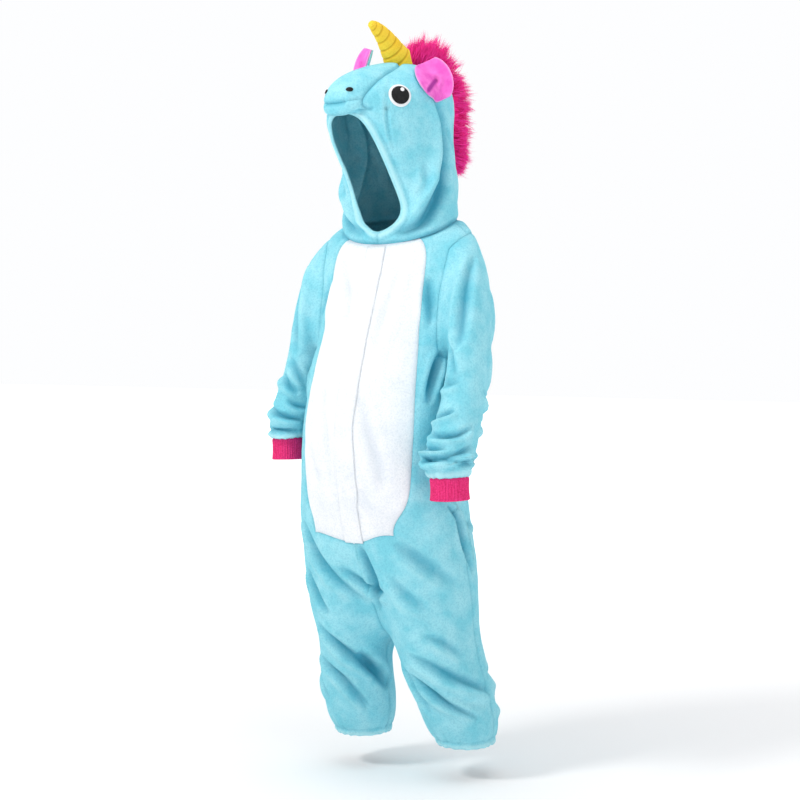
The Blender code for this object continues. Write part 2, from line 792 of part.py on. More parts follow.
def placket(skin):
    """Strip over the belly's centre seam, on the belly's own points."""
    left = {number for face in skin.patch("belly_left") for number in face}
    right = {number for face in skin.patch("belly_right") for number in face}
    seam = sorted((skin.points[number] for number in left & right), key=lambda point: point.z)
    lift = SEAM_GAP + PLACKET_CLEARANCE
    front = []
    back = []
    for point in seam:
        outer_row = []
        inner_row = []
        for share in PLACKET_COLUMNS:
            start = Vector((point.x + share * PLACKET_HALF_WIDTH, -1.0, point.z))
            place, normal = on_skin(skin, start, Vector((0.0, 1.0, 0.0)))
            if share == 0.0:
                place = point
            inner_row.append(place + normal * lift)
            outer_row.append(place + normal * (lift + CLOTH))
        front.append(outer_row)
        back.append(inner_row)
    for rows in (front, back):
        ends = zip(rows[-1], rows[-2])
        rows[-1] = [point + (below - point).normalized() * PLACKET_TRIM for point, below in ends]
    return grid_solid(front, back)


def pocket(skin, sign):
    """Bag of cloth hanging inside the side seam, just behind the wall."""
    front = []
    back = []
    for step in range(POCKET_STEPS + 1):
        height = POCKET_BOTTOM + (POCKET_TOP - POCKET_BOTTOM) * step / POCKET_STEPS
        outer_row = []
        inner_row = []
        for turn in POCKET_TURNS:
            angle = math.radians(turn)
            direction = Vector((-sign * math.sin(angle), math.cos(angle), 0.0))
            centre = Vector((TORSO[BELLY_ROW].x, TORSO[BELLY_ROW].y, level(height)))
            place, normal = on_skin(skin, centre - direction, direction)
            depth = CLOTH + SEAM_GAP + POCKET_DEPTH
            outer_row.append(place - normal * depth)
            inner_row.append(place - normal * (depth + CLOTH))
        front.append(outer_row)
        back.append(inner_row)
    return grid_solid(front, back)


# ---------------------------------------------------------------- head details
def disc_on_skin(skin, centre, towards, half_across, half_up, lift, thickness):
    """Flat disc laid on a skin and moved out from its points."""
    rings = DISC_RINGS
    spokes = DISC_SIDES
    place, normal = on_skin(skin, centre, towards)
    across = normal.cross(Vector((0.0, 0.0, 1.0))).normalized()
    up = across.cross(normal).normalized()
    points = []
    for side_lift in (lift + thickness, lift):
        base, base_normal = on_skin(skin, place + normal * PROBE, -normal)
        points.append(base + base_normal * side_lift)
        for ring in range(1, rings + 1):
            for spoke in range(spokes):
                angle = math.tau * spoke / spokes
                offset = across * (half_across * ring / rings * math.cos(angle))
                offset += up * (half_up * ring / rings * math.sin(angle))
                spot, spot_normal = on_skin(skin, place + normal * PROBE + offset, -normal)
                points.append(spot + spot_normal * side_lift)
    layer = 1 + rings * spokes
    faces = []
    for side in range(2):
        start = side * layer
        for spoke in range(spokes):
            beside = (spoke + 1) % spokes
            faces.append([start, start + 1 + spoke, start + 1 + beside])
            for ring in range(rings - 1):
                near = start + 1 + ring * spokes
                far = near + spokes
                faces.append([near + spoke, far + spoke, far + beside, near + beside])
    edge = 1 + (rings - 1) * spokes
    for spoke in range(spokes):
        beside = (spoke + 1) % spokes
        faces.append([edge + spoke, edge + beside, layer + edge + beside, layer + edge + spoke])
    return points, outward_faces(points, faces)


def eye_place(sign, across=0.0, up=0.0):
    """A point well outside the hood in front of the eye, and the way to the hood."""
    angle = math.radians(EYE_TURN)
    direction = turned((-sign * math.sin(angle), math.cos(angle), 0.0), HEAD_TURN)
    sideways = turned((sign * math.cos(angle), math.sin(angle), 0.0), HEAD_TURN)
    aim = turned((0.0, NOSE[0].y, level(EYE_HEIGHT + up)), HEAD_TURN)
    return aim - direction + sideways * across, direction


def nostril_place(sign):
    """A point in front of the nostril, and the way to the muzzle."""
    x, y, height = NOSTRIL
    inwards, back, up = NOSTRIL_AIM
    direction = turned((-sign * inwards, back, up), HEAD_TURN).normalized()
    return turned((sign * x, y, level(height)), HEAD_TURN) - direction * NOSTRIL_REACH, direction


def horn(skin):
    """Curved, rounded cone."""
    rings = []
    for number, ring in enumerate(HORN):
        centre = Vector((0.0, ring.y, level(ring.height)))
        before = HORN[max(number - 1, 0)]
        after = HORN[min(number + 1, len(HORN) - 1)]
        along = Vector((0.0, after.y - before.y, after.height - before.height)).normalized()
        across = Vector((1.0, 0.0, 0.0))
        up = along.cross(across)
        circle = []
        for spoke in range(HORN_SIDES):
            angle = math.tau * spoke / HORN_SIDES
            spoke_way = across * math.cos(angle) + up * math.sin(angle)
            point = turned(centre + spoke_way * ring.radius, HEAD_TURN)
            if number == 0:
                place, normal = on_skin(skin, point + UP * HORN_REACH, -UP)
                point = place + normal * HORN_CLEARANCE
            circle.append(point)
        rings.append(circle)
    last = HORN[-1]
    tip = turned((0.0, last.y - HORN_TIP_BACK, level(last.height + HORN_TIP_UP)), HEAD_TURN)
    middle = sum(rings[0], Vector()) / HORN_SIDES
    place, normal = on_skin(skin, middle + UP * HORN_REACH, -UP)
    base = place + normal * HORN_DISH
    points = [point for circle in rings for point in circle] + [tip, base]
    tip_number = len(points) - 2
    base_number = len(points) - 1
    faces = []
    for number in range(len(rings) - 1):
        for spoke in range(HORN_SIDES):
            beside = (spoke + 1) % HORN_SIDES
            faces.append([
                number * HORN_SIDES + spoke,
                number * HORN_SIDES + beside,
                (number + 1) * HORN_SIDES + beside,
                (number + 1) * HORN_SIDES + spoke,
            ])
    start = (len(rings) - 1) * HORN_SIDES
    for spoke in range(HORN_SIDES):
        beside = (spoke + 1) % HORN_SIDES
        faces.append([start + spoke, start + beside, tip_number])
        faces.append([spoke, beside, base_number])
    return points, outward_faces(points, faces)


def ear_place(side, sign, x, y, z):
    """World point of a place in the ear's own frame: x across it, -Y its face, z up from its end."""
    ear = EAR[side]
    tilt = Matrix.Rotation(math.radians(-ear.tilt), 3, "X")
    lean = Matrix.Rotation(math.radians(-ear.lean), 3, "Y") @ tilt
    facing = Matrix.Rotation(math.radians(ear.facing), 3, "Z")
    spot = Vector((ear.x, ear.y, level(ear.height)))
    point = spot + facing @ (lean @ Vector((x, y, z)))
    point.x *= sign
    return turned(point, HEAD_TURN)


def clear_of(skin, point, distance, outwards):
    """The point, moved along a direction where a skin is in its way or nearer than a distance."""
    place, normal, _, _ = skin.tree.ray_cast(point + outwards * EAR_LENGTH, -outwards)
    if place is None:
        return point
    slope = max(normal.dot(outwards), EAR_STEEPEST)
    missing = distance / slope - (point - place).dot(outwards)
    return point + outwards * max(0.0, missing)


def ear_half_width(share):
    """Half the ear's width at a share of its length."""
    off = (share - EAR_WIDEST) / EAR_SPAN
    return EAR_HALF_WIDTH * math.sqrt(1.0 - off ** 2) ** EAR_FULLNESS


def ear_layers(skin, side, sign):
    """The back and the face of an ear, one laid on the other; the lower end lies on the hood."""
    ahead = ear_place(side, sign, 0.0, -1.0, 0.0) - ear_place(side, sign, 0.0, 0.0, 0.0)
    outwards = ahead.normalized()
    back = []
    for step in range(EAR_STEPS + 1):
        along = (1 - math.cos(math.pi * step / EAR_STEPS)) / 2
        share = EAR_FIRST + (EAR_LAST - EAR_FIRST) * along
        width = ear_half_width(share)
        row = []
        for column in range(EAR_ACROSS + 1):
            x = width * math.sin(math.pi * (column / EAR_ACROSS - 0.5))
            cup = EAR_CUP * (x / EAR_HALF_WIDTH) ** 2
            point = ear_place(side, sign, x, -cup, EAR_LENGTH * share)
            row.append(clear_of(skin, point, EAR_CLEARANCE, outwards))
        back.append(row)
    lifts = (0.0, EAR_BACK_THICKNESS, EAR_BACK_THICKNESS + EAR_GAP, EAR_THICKNESS)
    grids = [[[point + outwards * lift for point in row] for row in back] for lift in lifts]
    return grid_solid(grids[1], grids[0]), grid_solid(grids[3], grids[2])


def mane(skin):
    """Plain solid of the fur's reach, over the crown and down the middle of the back."""
    across = turned((1.0, 0.0, 0.0), HEAD_TURN)
    table = [MANE[0]]
    for before, after in zip(MANE, MANE[1:]):
        table.append(ManeRing(*[(a + b) / 2 for a, b in zip(before, after)]))
        table.append(after)
    sections = []
    for ring in table:
        angle = math.radians(ring.angle)
        centre = turned((0.0, MANE_CENTRE[0], level(MANE_CENTRE[1] - ring.fall)), HEAD_TURN)
        way = turned((0.0, math.sin(angle), math.cos(angle)), HEAD_TURN)
        place, normal = on_skin(skin, centre + way, -way)
        normal = (normal - across * normal.dot(across)).normalized()
        section = []
        for step in range(MANE_ARC + 1):
            bend = math.pi * step / MANE_ARC
            side = across * (ring.half_width * math.cos(bend))
            out = normal * (MANE_LIFT + ring.reach * math.sin(bend) ** MANE_FULLNESS)
            section.append(place + side + out)
        sections.append(section)
    count = MANE_ARC + 1
    points = [point for section in sections for point in section]
    faces = []
    for number in range(len(sections) - 1):
        for step in range(count):
            beside = (step + 1) % count
            faces.append([
                number * count + step,
                number * count + beside,
                (number + 1) * count + beside,
                (number + 1) * count + step,
            ])
    faces.append(list(range(count)))
    faces.append([(len(sections) - 1) * count + step for step in reversed(range(count))])
    return points, outward_faces(points, faces)


# ---------------------------------------------------------------- assembly
def build():
    clear_scene()
    collection = bpy.data.collections.new("unicorn_onesie")
    bpy.context.scene.collection.children.link(collection)
    body = Skin(body_cage())
    head = Skin(hood_cage())
    share_normals(body, head)
    for kind in ("front", "back", "belly", "sleeve"):
        for side, sign in SIDES:
            name = kind + "_" + side
            make_node(name, *wall(body, body.patch(name)), collection)
    for name in ("hood_left", "hood_right", "muzzle_top", "muzzle_lip"):
        make_node(name, *wall(head, head.patch(name)), collection)
    make_node("placket", *placket(body), collection)
    make_node("horn", *horn(head), collection)
    make_node("mane", *mane(head), collection)
    for side, sign in SIDES:
        points, faces = cuff(body, side)
        make_node("cuff_" + side, points, outward_faces(points, faces), collection)
        make_node("pocket_" + side, *pocket(body, sign), collection)
        back, face = ear_layers(head, side, sign)
        make_node("ear_back_" + side, *back, collection)
        make_node("ear_face_" + side, *face, collection)
        lift = DISC_LIFT
        size = (NOSTRIL_HALF_LENGTH, NOSTRIL_HALF_HEIGHT)
        nostril = disc_on_skin(head, *nostril_place(sign), *size, lift, FELT)
        make_node("nostril_" + side, *nostril, collection)
        discs = (("eye_white_", EYE_RADIUS, 0.0, 0.0), ("eye_black_", PUPIL_RADIUS, 0.0, 0.0),
                 ("eye_glint_", GLINT_RADIUS, GLINT_ACROSS * sign, GLINT_UP))
        for name, radius, across, up in discs:
            disc = disc_on_skin(head, *eye_place(sign, across, up), radius, radius, lift, FELT)
            make_node(name + side, *disc, collection)
            lift += FELT + SEAM_GAP


build()
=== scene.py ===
"""Looks of the unicorn onesie: plush shells with folds on the garment's form, knitted cuffs,
a wound horn, fur and the face, with the floor, the lights and the camera.

Metres, +Z up. The wearer faces -Y and the wearer's left is +X. Heights in the tables are above the
trouser hems.
"""
import math
import random
from collections import namedtuple

import bpy
import numpy as np
from mathutils import Matrix, Vector, kdtree, noise
from mathutils.bvhtree import BVHTree


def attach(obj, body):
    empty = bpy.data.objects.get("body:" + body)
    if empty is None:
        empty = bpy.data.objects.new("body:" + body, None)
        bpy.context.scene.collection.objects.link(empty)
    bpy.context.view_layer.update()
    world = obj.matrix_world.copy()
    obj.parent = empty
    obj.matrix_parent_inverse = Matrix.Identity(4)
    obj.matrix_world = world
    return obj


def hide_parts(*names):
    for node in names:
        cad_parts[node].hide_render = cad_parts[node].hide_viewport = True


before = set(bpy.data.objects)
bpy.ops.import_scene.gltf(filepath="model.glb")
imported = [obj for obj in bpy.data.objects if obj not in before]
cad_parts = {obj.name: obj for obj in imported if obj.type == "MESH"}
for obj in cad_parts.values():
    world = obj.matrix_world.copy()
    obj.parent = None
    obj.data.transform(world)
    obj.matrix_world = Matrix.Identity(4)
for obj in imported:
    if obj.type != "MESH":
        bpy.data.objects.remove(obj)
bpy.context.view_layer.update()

# ---------------------------------------------------------------- driving dimensions
HEM_LEVEL = -0.860          # height of the hems below the shoulders
CLOTH = 0.0022              # thickness of the plush
RIB = 0.0026                # thickness of the knitted cuffs
DISC_LIFT = 0.0007          # the lowest disc above the hood
FELT = 0.0010               # thickness of the eye and nostril discs
SEAM_GAP = 0.0003           # space between sewn pieces
COLUMNS = 16                # columns round the body and the hood
BACK = COLUMNS // 2         # the centre back column
SIDE = COLUMNS // 4         # the side seam column
SIDES = (("left", 1), ("right", -1))
LEVELS = 4                  # subdivision of the cages
UP = Vector((0.0, 0.0, 1.0))

PLACKET_HALF_WIDTH = 0.018
PLACKET_CLEARANCE = 0.0005  # keeps the strip clear of the belly's facets
POCKET_DEPTH = 0.0009       # the bag hangs this far behind the wall
EYE_TURN = 51.5             # degrees round the hood from its front
EYE_HEIGHT = 1.0940
EYE_RADIUS = 0.0195
PUPIL_RADIUS = 0.0155
GLINT_RADIUS = 0.0034
GLINT_ACROSS = 0.0032
GLINT_UP = 0.0080
NOSTRIL = (0.0250, -0.153, 1.100)   # from the head's axis, before the head is turned
NOSTRIL_AIM = (0.35, 0.75, -0.55)   # the way to it, from its own side
NOSTRIL_REACH = 0.1
NOSTRIL_HALF_LENGTH = 0.0062
NOSTRIL_HALF_HEIGHT = 0.0040

# ---------------------------------------------------------------- tables
# Torso rings from the crotch up. x, y: centre; width, front, back: half sizes; drop: how much lower
# the front is than the side; belly, arm and side: the turn from centre front, in degrees, of the
# belly seam, of the column at the front of the armhole and of the side seam.
Ring = namedtuple("Ring", "height x y width front back drop belly arm side")
TORSO = (
    Ring(0.226, -0.002, -0.024, 0.154, 0.097, 0.112, 0.000, 44, 68, 92),
    Ring(0.290, -0.005, -0.028, 0.161, 0.105, 0.118, 0.000, 40, 64, 88),
    Ring(0.350, -0.007, -0.034, 0.159, 0.112, 0.118, 0.000, 29, 57, 78),
    Ring(0.412, -0.008, -0.038, 0.154, 0.121, 0.114, 0.000, 41, 56, 74),
    Ring(0.472, -0.008, -0.042, 0.146, 0.129, 0.108, 0.000, 47, 62, 80),
    Ring(0.540, -0.008, -0.045, 0.139, 0.131, 0.102, 0.000, 52, 68, 88),
    Ring(0.608, -0.006, -0.044, 0.131, 0.125, 0.099, 0.000, 54, 69, 90),
    Ring(0.668, -0.003, -0.036, 0.124, 0.113, 0.097, 0.000, 54, 68, 90),
    Ring(0.760, 0.000, -0.022, 0.120, 0.096, 0.095, 0.008, 49, 62, 90),
    Ring(0.874, 0.000, -0.006, 0.138, 0.080, 0.080, 0.044, 43, 60, 90),
    Ring(0.890, 0.000, 0.000, 0.105, 0.079, 0.078, 0.040, 42, 66, 90),
)
CROTCH_ROW, BELLY_ROW, UNDERARM_ROW = 0, 2, 7
CHEST_ROW, SHOULDER_ROW, NECK_ROW = 8, 9, 10
CROTCH_HEIGHT = 0.200
CROTCH_Y = -0.022
BELLY_RISE = {1: 0.036, -1: 0.030}   # the lower edge of the belly rises to its corners: left, right
BELLY_CORNER = {1: 0.48, -1: 1.0}    # how far round its corners are, as shares of the table's turn
FORK = {0: 0.075, 1: 0.038, 2: 0.010}   # how far each of the lowest rings is drawn in at centre front
BACK_RISE = 0.3             # how far a ring rises behind, as a share of its drop in front
CROTCH_SAG = 0.018          # the crotch ring is this much lower at its front and back

# Leg rings from below the crotch to the hem. x: distance from the middle; y: centre; width, depth:
# half sizes; tip: how much lower the ring is at the inside of the leg.
LegRing = namedtuple("LegRing", "height x y width depth tip")
LEG = {
    "left": (
        LegRing(0.166, 0.086, -0.016, 0.069, 0.079, 0.012),
        LegRing(0.122, 0.096, -0.006, 0.069, 0.076, 0.004),
        LegRing(0.072, 0.107, 0.004, 0.069, 0.072, 0.000),
        LegRing(0.034, 0.115, 0.010, 0.066, 0.067, 0.000),
        LegRing(0.004, 0.121, 0.014, 0.046, 0.048, 0.000),
    ),
    "right": (
        LegRing(0.166, 0.081, -0.018, 0.059, 0.074, 0.012),
        LegRing(0.122, 0.084, -0.008, 0.062, 0.070, 0.004),
        LegRing(0.072, 0.085, 0.002, 0.063, 0.069, 0.000),
        LegRing(0.034, 0.085, 0.010, 0.061, 0.065, 0.000),
        LegRing(0.004, 0.085, 0.016, 0.044, 0.047, 0.000),
    ),
}

# Sleeve rings from the shoulder to the wrist: inner and outer edge (distance from the middle and
# height), the ring's centre from front to back, and its half depth.
ArmRing = namedtuple("ArmRing", "inner inner_height outer outer_height y depth")
ARM = {
    "left": (
        ArmRing(0.130, 0.652, 0.170, 0.830, -0.028, 0.060),
        ArmRing(0.131, 0.622, 0.193, 0.738, -0.052, 0.054),
        ArmRing(0.130, 0.584, 0.202, 0.655, -0.078, 0.050),
        ArmRing(0.129, 0.548, 0.208, 0.585, -0.102, 0.048),
        ArmRing(0.126, 0.515, 0.208, 0.524, -0.126, 0.050),
        ArmRing(0.124, 0.489, 0.206, 0.486, -0.140, 0.048),
        ArmRing(0.142, 0.475, 0.202, 0.475, -0.143, 0.034),
    ),
    "right": (
        ArmRing(0.128, 0.654, 0.168, 0.830, -0.026, 0.060),
        ArmRing(0.130, 0.630, 0.180, 0.744, -0.034, 0.052),
        ArmRing(0.136, 0.602, 0.192, 0.674, -0.040, 0.047),
        ArmRing(0.142, 0.578, 0.203, 0.620, -0.050, 0.045),
        ArmRing(0.148, 0.556, 0.214, 0.574, -0.062, 0.046),
        ArmRing(0.150, 0.535, 0.217, 0.538, -0.070, 0.043),
        ArmRing(0.158, 0.524, 0.208, 0.522, -0.074, 0.030),
    ),
}
CUFF_LENGTH = 0.038
CUFF_SQUEEZE = 0.96

# Hood rings with the face opening, from the neck up. turn: the head's turn to its right; left and
# right: the turn from the front, in degrees, of the edges of the opening.
FaceRing = namedtuple("FaceRing", "height y width front back drop turn left right")
FACE = (
    FaceRing(0.904, 0.000, 0.104, 0.081, 0.078, 0.045, 1, 0, 0),
    FaceRing(0.926, 0.003, 0.101, 0.086, 0.082, 0.036, 3, 34, 15),
    FaceRing(0.952, 0.006, 0.093, 0.090, 0.088, 0.014, 5, 28, 30),
    FaceRing(0.992, -0.006, 0.090, 0.106, 0.104, 0.000, 9, 29, 34),
    FaceRing(1.034, -0.019, 0.092, 0.115, 0.120, 0.000, 12, 28, 31),
    FaceRing(1.060, -0.026, 0.094, 0.120, 0.127, 0.000, 12, 21, 23),
)
COLLAR_ROWS = 1             # rows above the neck seam that are closed in front
# Rings through the muzzle. The nose columns give the middle of the muzzle, and the seam columns the
# line where it is sewn to the sides.
NoseRing = namedtuple("NoseRing", "height y width front back nose_y nose_height seam_x seam_y seam_height")
NOSE = (
    NoseRing(1.074, -0.027, 0.095, 0.118, 0.129, -0.146, 1.070, 0.037, -0.146, 1.071),
    NoseRing(1.085, -0.028, 0.095, 0.116, 0.130, -0.158, 1.056, 0.033, -0.152, 1.074),
    NoseRing(1.096, -0.028, 0.094, 0.113, 0.130, -0.168, 1.078, 0.033, -0.154, 1.085),
    NoseRing(1.107, -0.028, 0.091, 0.108, 0.128, -0.164, 1.107, 0.038, -0.134, 1.101),
    NoseRing(1.121, -0.026, 0.084, 0.096, 0.121, -0.132, 1.130, 0.041, -0.112, 1.118),
    NoseRing(1.137, -0.021, 0.070, 0.076, 0.105, -0.088, 1.147, 0.040, -0.080, 1.134),
    NoseRing(1.151, -0.012, 0.043, 0.045, 0.068, -0.044, 1.157, 0.030, -0.038, 1.148),
)
HOOD_FLATNESS = 0.15
LIP_ROWS = 2
SEAM_COLUMN = 2
CROWN = (0.0, -0.004, 1.160)
HEAD_TURN = 12.0

# Horn sections in the head's middle plane: distance behind the head's axis, height, radius.
HornRing = namedtuple("HornRing", "y height radius")
HORN = (
    HornRing(-0.004, 1.1640, 0.0265),
    HornRing(-0.018, 1.1775, 0.0215),
    HornRing(-0.032, 1.1920, 0.0175),
    HornRing(-0.047, 1.2050, 0.0138),
    HornRing(-0.063, 1.2150, 0.0103),
    HornRing(-0.073, 1.2195, 0.0070),
)
HORN_REACH = 0.1            # from the hood to a place well above it

# Ear: its size, and how far its edges come forward.
EAR_LENGTH = 0.076
EAR_HALF_WIDTH = 0.030
EAR_CUP = 0.010
# Where each ear is sewn on, before the head is turned: distance from the middle, y and height of its
# lower end; lean: degrees outwards; tilt: degrees back; facing: degrees that it faces out from the front.
EarPlace = namedtuple("EarPlace", "x y height lean tilt facing")
EAR = {
    "left": EarPlace(0.099, -0.003, 1.089, 24.0, 12.0, 48.0),
    "right": EarPlace(0.083, -0.008, 1.119, 13.0, 10.0, 30.0),
}
EAR_CLEARANCE = 0.0020      # the ear's back above the hood where it lies on it
EAR_BACK_THICKNESS = 0.0024
EAR_GAP = 0.0004             # between the ear's back and its face
EAR_THICKNESS = 0.0056       # of the back and the face together
EAR_STEEPEST = 0.35          # keeps an ear from being drawn out where it meets the hood edge on

# Mane sections along the middle of the hood. angle: degrees back from straight up, seen from the
# middle of the head; fall: how far below it; half_width and reach: size of the fur.
ManeRing = namedtuple("ManeRing", "angle fall half_width reach")
MANE = (
    ManeRing(21, 0.000, 0.022, 0.040),
    ManeRing(34, 0.000, 0.029, 0.056),
    ManeRing(50, 0.000, 0.032, 0.060),
    ManeRing(66, 0.000, 0.033, 0.061),
    ManeRing(82, 0.000, 0.033, 0.062),
    ManeRing(88, 0.015, 0.032, 0.061),
    ManeRing(88, 0.029, 0.031, 0.060),
    ManeRing(88, 0.043, 0.029, 0.057),
    ManeRing(88, 0.057, 0.024, 0.050),
)
MANE_CENTRE = (-0.010, 1.045)
MANE_LIFT = 0.0016

def level(height):
    """World height of a height above the hems."""
    return height + HEM_LEVEL


def on_oval(turn, x, y, width, front, back):
    """Point of a ring at a turn in degrees from its front, towards the wearer's left."""
    angle = math.radians(turn)
    depth = front if math.cos(angle) > 0 else back
    return x + width * math.sin(angle), y - depth * math.cos(angle)


def turned(point, degrees):
    """Turn a point about the head's upright axis; the head turns to its right."""
    return Matrix.Rotation(-math.radians(degrees), 3, "Z") @ Vector(point)


class Cage:
    """Coarse quads with named corners, each face marked with the piece that it belongs to.

    Corners run level, upright, level, upright; each face also keeps a whole mark, which nothing reads.
    """

    def __init__(self):
        self.points = []
        self.index = {}
        self.faces = []
        self.pieces = []
        self.names = []
        self.whole = []

    def add(self, key, point):
        self.index[key] = len(self.points)
        self.points.append(Vector(point))

    def face(self, keys, piece, whole=False):
        if piece not in self.names:
            self.names.append(piece)
        self.faces.append([self.index[key] for key in keys])
        self.pieces.append(self.names.index(piece))
        self.whole.append(whole or len(keys) == 3)


# ---------------------------------------------------------------- body, legs and sleeves
def column_turns(ring):
    """Turn of every column of a torso ring, from centre front round the wearer's left."""
    half = [0.0, ring.belly / 2, ring.belly, ring.arm, ring.side, 180.0 - ring.arm, 135.0, 157.5, 180.0]
    return half + [-turn for turn in reversed(half[1:-1])]


def dropped(ring, facing):
    """How much lower than its side a ring is, where it faces front (1) or back (-1)."""
    return ring.drop * facing if facing > 0 else ring.drop * facing * BACK_RISE


def torso_point(row, column):
    """Corner of the torso's cage."""
    ring = TORSO[row]
    turn = column_turns(ring)[column]
    sign = 1 if turn >= 0 else -1
    on_belly_edge = row == BELLY_ROW and abs(turn) <= ring.belly
    rise = BELLY_RISE[sign] * abs(turn) / ring.belly if on_belly_edge else 0.0
    if on_belly_edge:
        turn *= BELLY_CORNER[sign]
    x, y = on_oval(turn, ring.x, ring.y, ring.width, ring.front, ring.back)
    if column == 0:
        y += FORK.get(row, 0.0)
    facing = math.cos(math.radians(turn))
    height = ring.height - dropped(ring, facing) + rise
    if row == CROTCH_ROW:
        height -= CROTCH_SAG * abs(facing)
    return x, y, level(height)


def mirrored(column, sign):
    """The same column on the wearer's left (sign 1) or right (sign -1)."""
    return column if sign > 0 else (COLUMNS - column) % COLUMNS


def add_face(cage, keys, piece, sign, whole=False):
    """Add a face listed as for the wearer's left; the right side runs the other way round."""
    cage.face(keys if sign > 0 else list(reversed(keys)), piece, whole)


def add_torso(cage):
    rows = range(len(TORSO))
    for row in rows:
        for column in range(COLUMNS):
            if row == CHEST_ROW and column in (SIDE, COLUMNS - SIDE):
                continue
            cage.add(("torso", row, column), torso_point(row, column))
    for side, sign in SIDES:
        for row in rows[:-1]:
            for column in range(BACK):
                in_armhole = UNDERARM_ROW <= row < SHOULDER_ROW and column in (SIDE - 1, SIDE)
                if in_armhole:
                    continue
                if row >= BELLY_ROW and column < SEAM_COLUMN:
                    piece = "belly"
                elif column < SIDE:
                    piece = "front"
                else:
                    piece = "back"
                first = mirrored(column, sign)
                second = mirrored(column + 1, sign)
                corners = [
                    ("torso", row, first),
                    ("torso", row, second),
                    ("torso", row + 1, second),
                    ("torso", row + 1, first),
                ]
                add_face(cage, corners, piece + "_" + side, sign)


def add_legs(cage):
    cage.add("crotch", (0.0, CROTCH_Y, level(CROTCH_HEIGHT)))
    count = BACK + 2
    for side, sign in SIDES:
        upper = [("torso", CROTCH_ROW, mirrored(column, sign)) for column in range(BACK + 1)]
        upper.append("crotch")
        for row, ring in enumerate(LEG[side]):
            lower = []
            for number in range(count):
                turn = -54.0 + 360.0 / count * number
                x, y = on_oval(turn, ring.x, ring.y, ring.width, ring.depth, ring.depth)
                height = ring.height + ring.tip * math.sin(math.radians(turn))
                key = ("leg", side, row, number)
                cage.add(key, (sign * x, y, level(height)))
                lower.append(key)
            for number in range(count):
                follow = (number + 1) % count
                piece = "front" if number < SIDE or number == count - 1 else "back"
                corners = [lower[number], lower[follow], upper[follow], upper[number]]
                add_face(cage, corners, piece + "_" + side, sign)
            upper = lower


def armhole(sign):
    """Corners of the armhole, from the underarm round the back, over the top and down the front."""
    places = (
        (UNDERARM_ROW, SIDE),
        (UNDERARM_ROW, SIDE + 1),
        (CHEST_ROW, SIDE + 1),
        (SHOULDER_ROW, SIDE + 1),
        (SHOULDER_ROW, SIDE),
        (SHOULDER_ROW, SIDE - 1),
        (CHEST_ROW, SIDE - 1),
        (UNDERARM_ROW, SIDE - 1),
    )
    return [("torso", row, mirrored(column, sign)) for row, column in places]


def arm_ring_point(ring, sign, angle):
    """Point of a sleeve ring: angle 0 is the inside of the arm and a quarter turn its back."""
    middle = Vector(((ring.inner + ring.outer) / 2, ring.y, (ring.inner_height + ring.outer_height) / 2))
    inwards = Vector((ring.inner, ring.y, ring.inner_height)) - middle
    backwards = Vector((0.0, ring.depth, 0.0))
    point = middle + inwards * math.cos(angle) + backwards * math.sin(angle)
    return sign * point.x, point.y, level(point.z)


def add_sleeves(cage):
    for side, sign in SIDES:
        upper = armhole(sign)
        count = len(upper)
        for row, ring in enumerate(ARM[side]):
            lower = []
            for number in range(count):
                key = ("arm", side, row, number)
                cage.add(key, arm_ring_point(ring, sign, math.tau * number / count))
                lower.append(key)
            for number in range(count):
                follow = (number + 1) % count
                corners = [upper[number], upper[follow], lower[follow], lower[number]]
                add_face(cage, corners, "sleeve_" + side, sign)
            upper = lower


def body_cage():
    cage = Cage()
    add_torso(cage)
    add_legs(cage)
    add_sleeves(cage)
    return cage


# ---------------------------------------------------------------- hood
def on_hood(turn, ring):
    """Point of a hood ring, which is flatter towards the seam at the centre back."""
    x, y = on_oval(turn, 0.0, ring.y, ring.width, ring.front, ring.back)
    if abs(turn) > 90:
        x *= abs(math.sin(math.radians(turn))) ** HOOD_FLATNESS
    return x, y


def face_point(ring, column, sign):
    """Corner of the hood beside the face opening; column 0 is the edge of the opening."""
    if column <= SIDE:
        edge = ring.left if sign > 0 else ring.right
        turn = edge + (90.0 - edge) * column / SIDE
    else:
        turn = 90.0 * column / SIDE
    x, y = on_hood(sign * turn, ring)
    height = ring.height - dropped(ring, math.cos(math.radians(turn)))
    return turned((x, y, level(height)), ring.turn)


def nose_point(ring, column, sign):
    """Corner of the hood above the opening: the muzzle in front, the oval head round the rest."""
    if column <= SEAM_COLUMN:
        share = column / SEAM_COLUMN
        x = ring.seam_x * math.sin(math.radians(90 * share)) ** 0.8
        bend = 1 - math.cos(math.radians(90 * share))
        y = ring.nose_y + (ring.seam_y - ring.nose_y) * bend
        height = ring.nose_height + (ring.seam_height - ring.nose_height) * bend
        return turned((sign * x, y, level(height)), HEAD_TURN)
    turn = 90.0 * column / SIDE
    x, y = on_hood(sign * turn, ring)
    return turned((x, y, level(ring.height)), HEAD_TURN)


def hood_key(row, column, sign):
    """Centre front is split in two beside the opening and is one column above it."""
    split = COLLAR_ROWS < row <= len(FACE) and column == 0
    return ("hood", row, mirrored(column, sign), sign if split else 0)


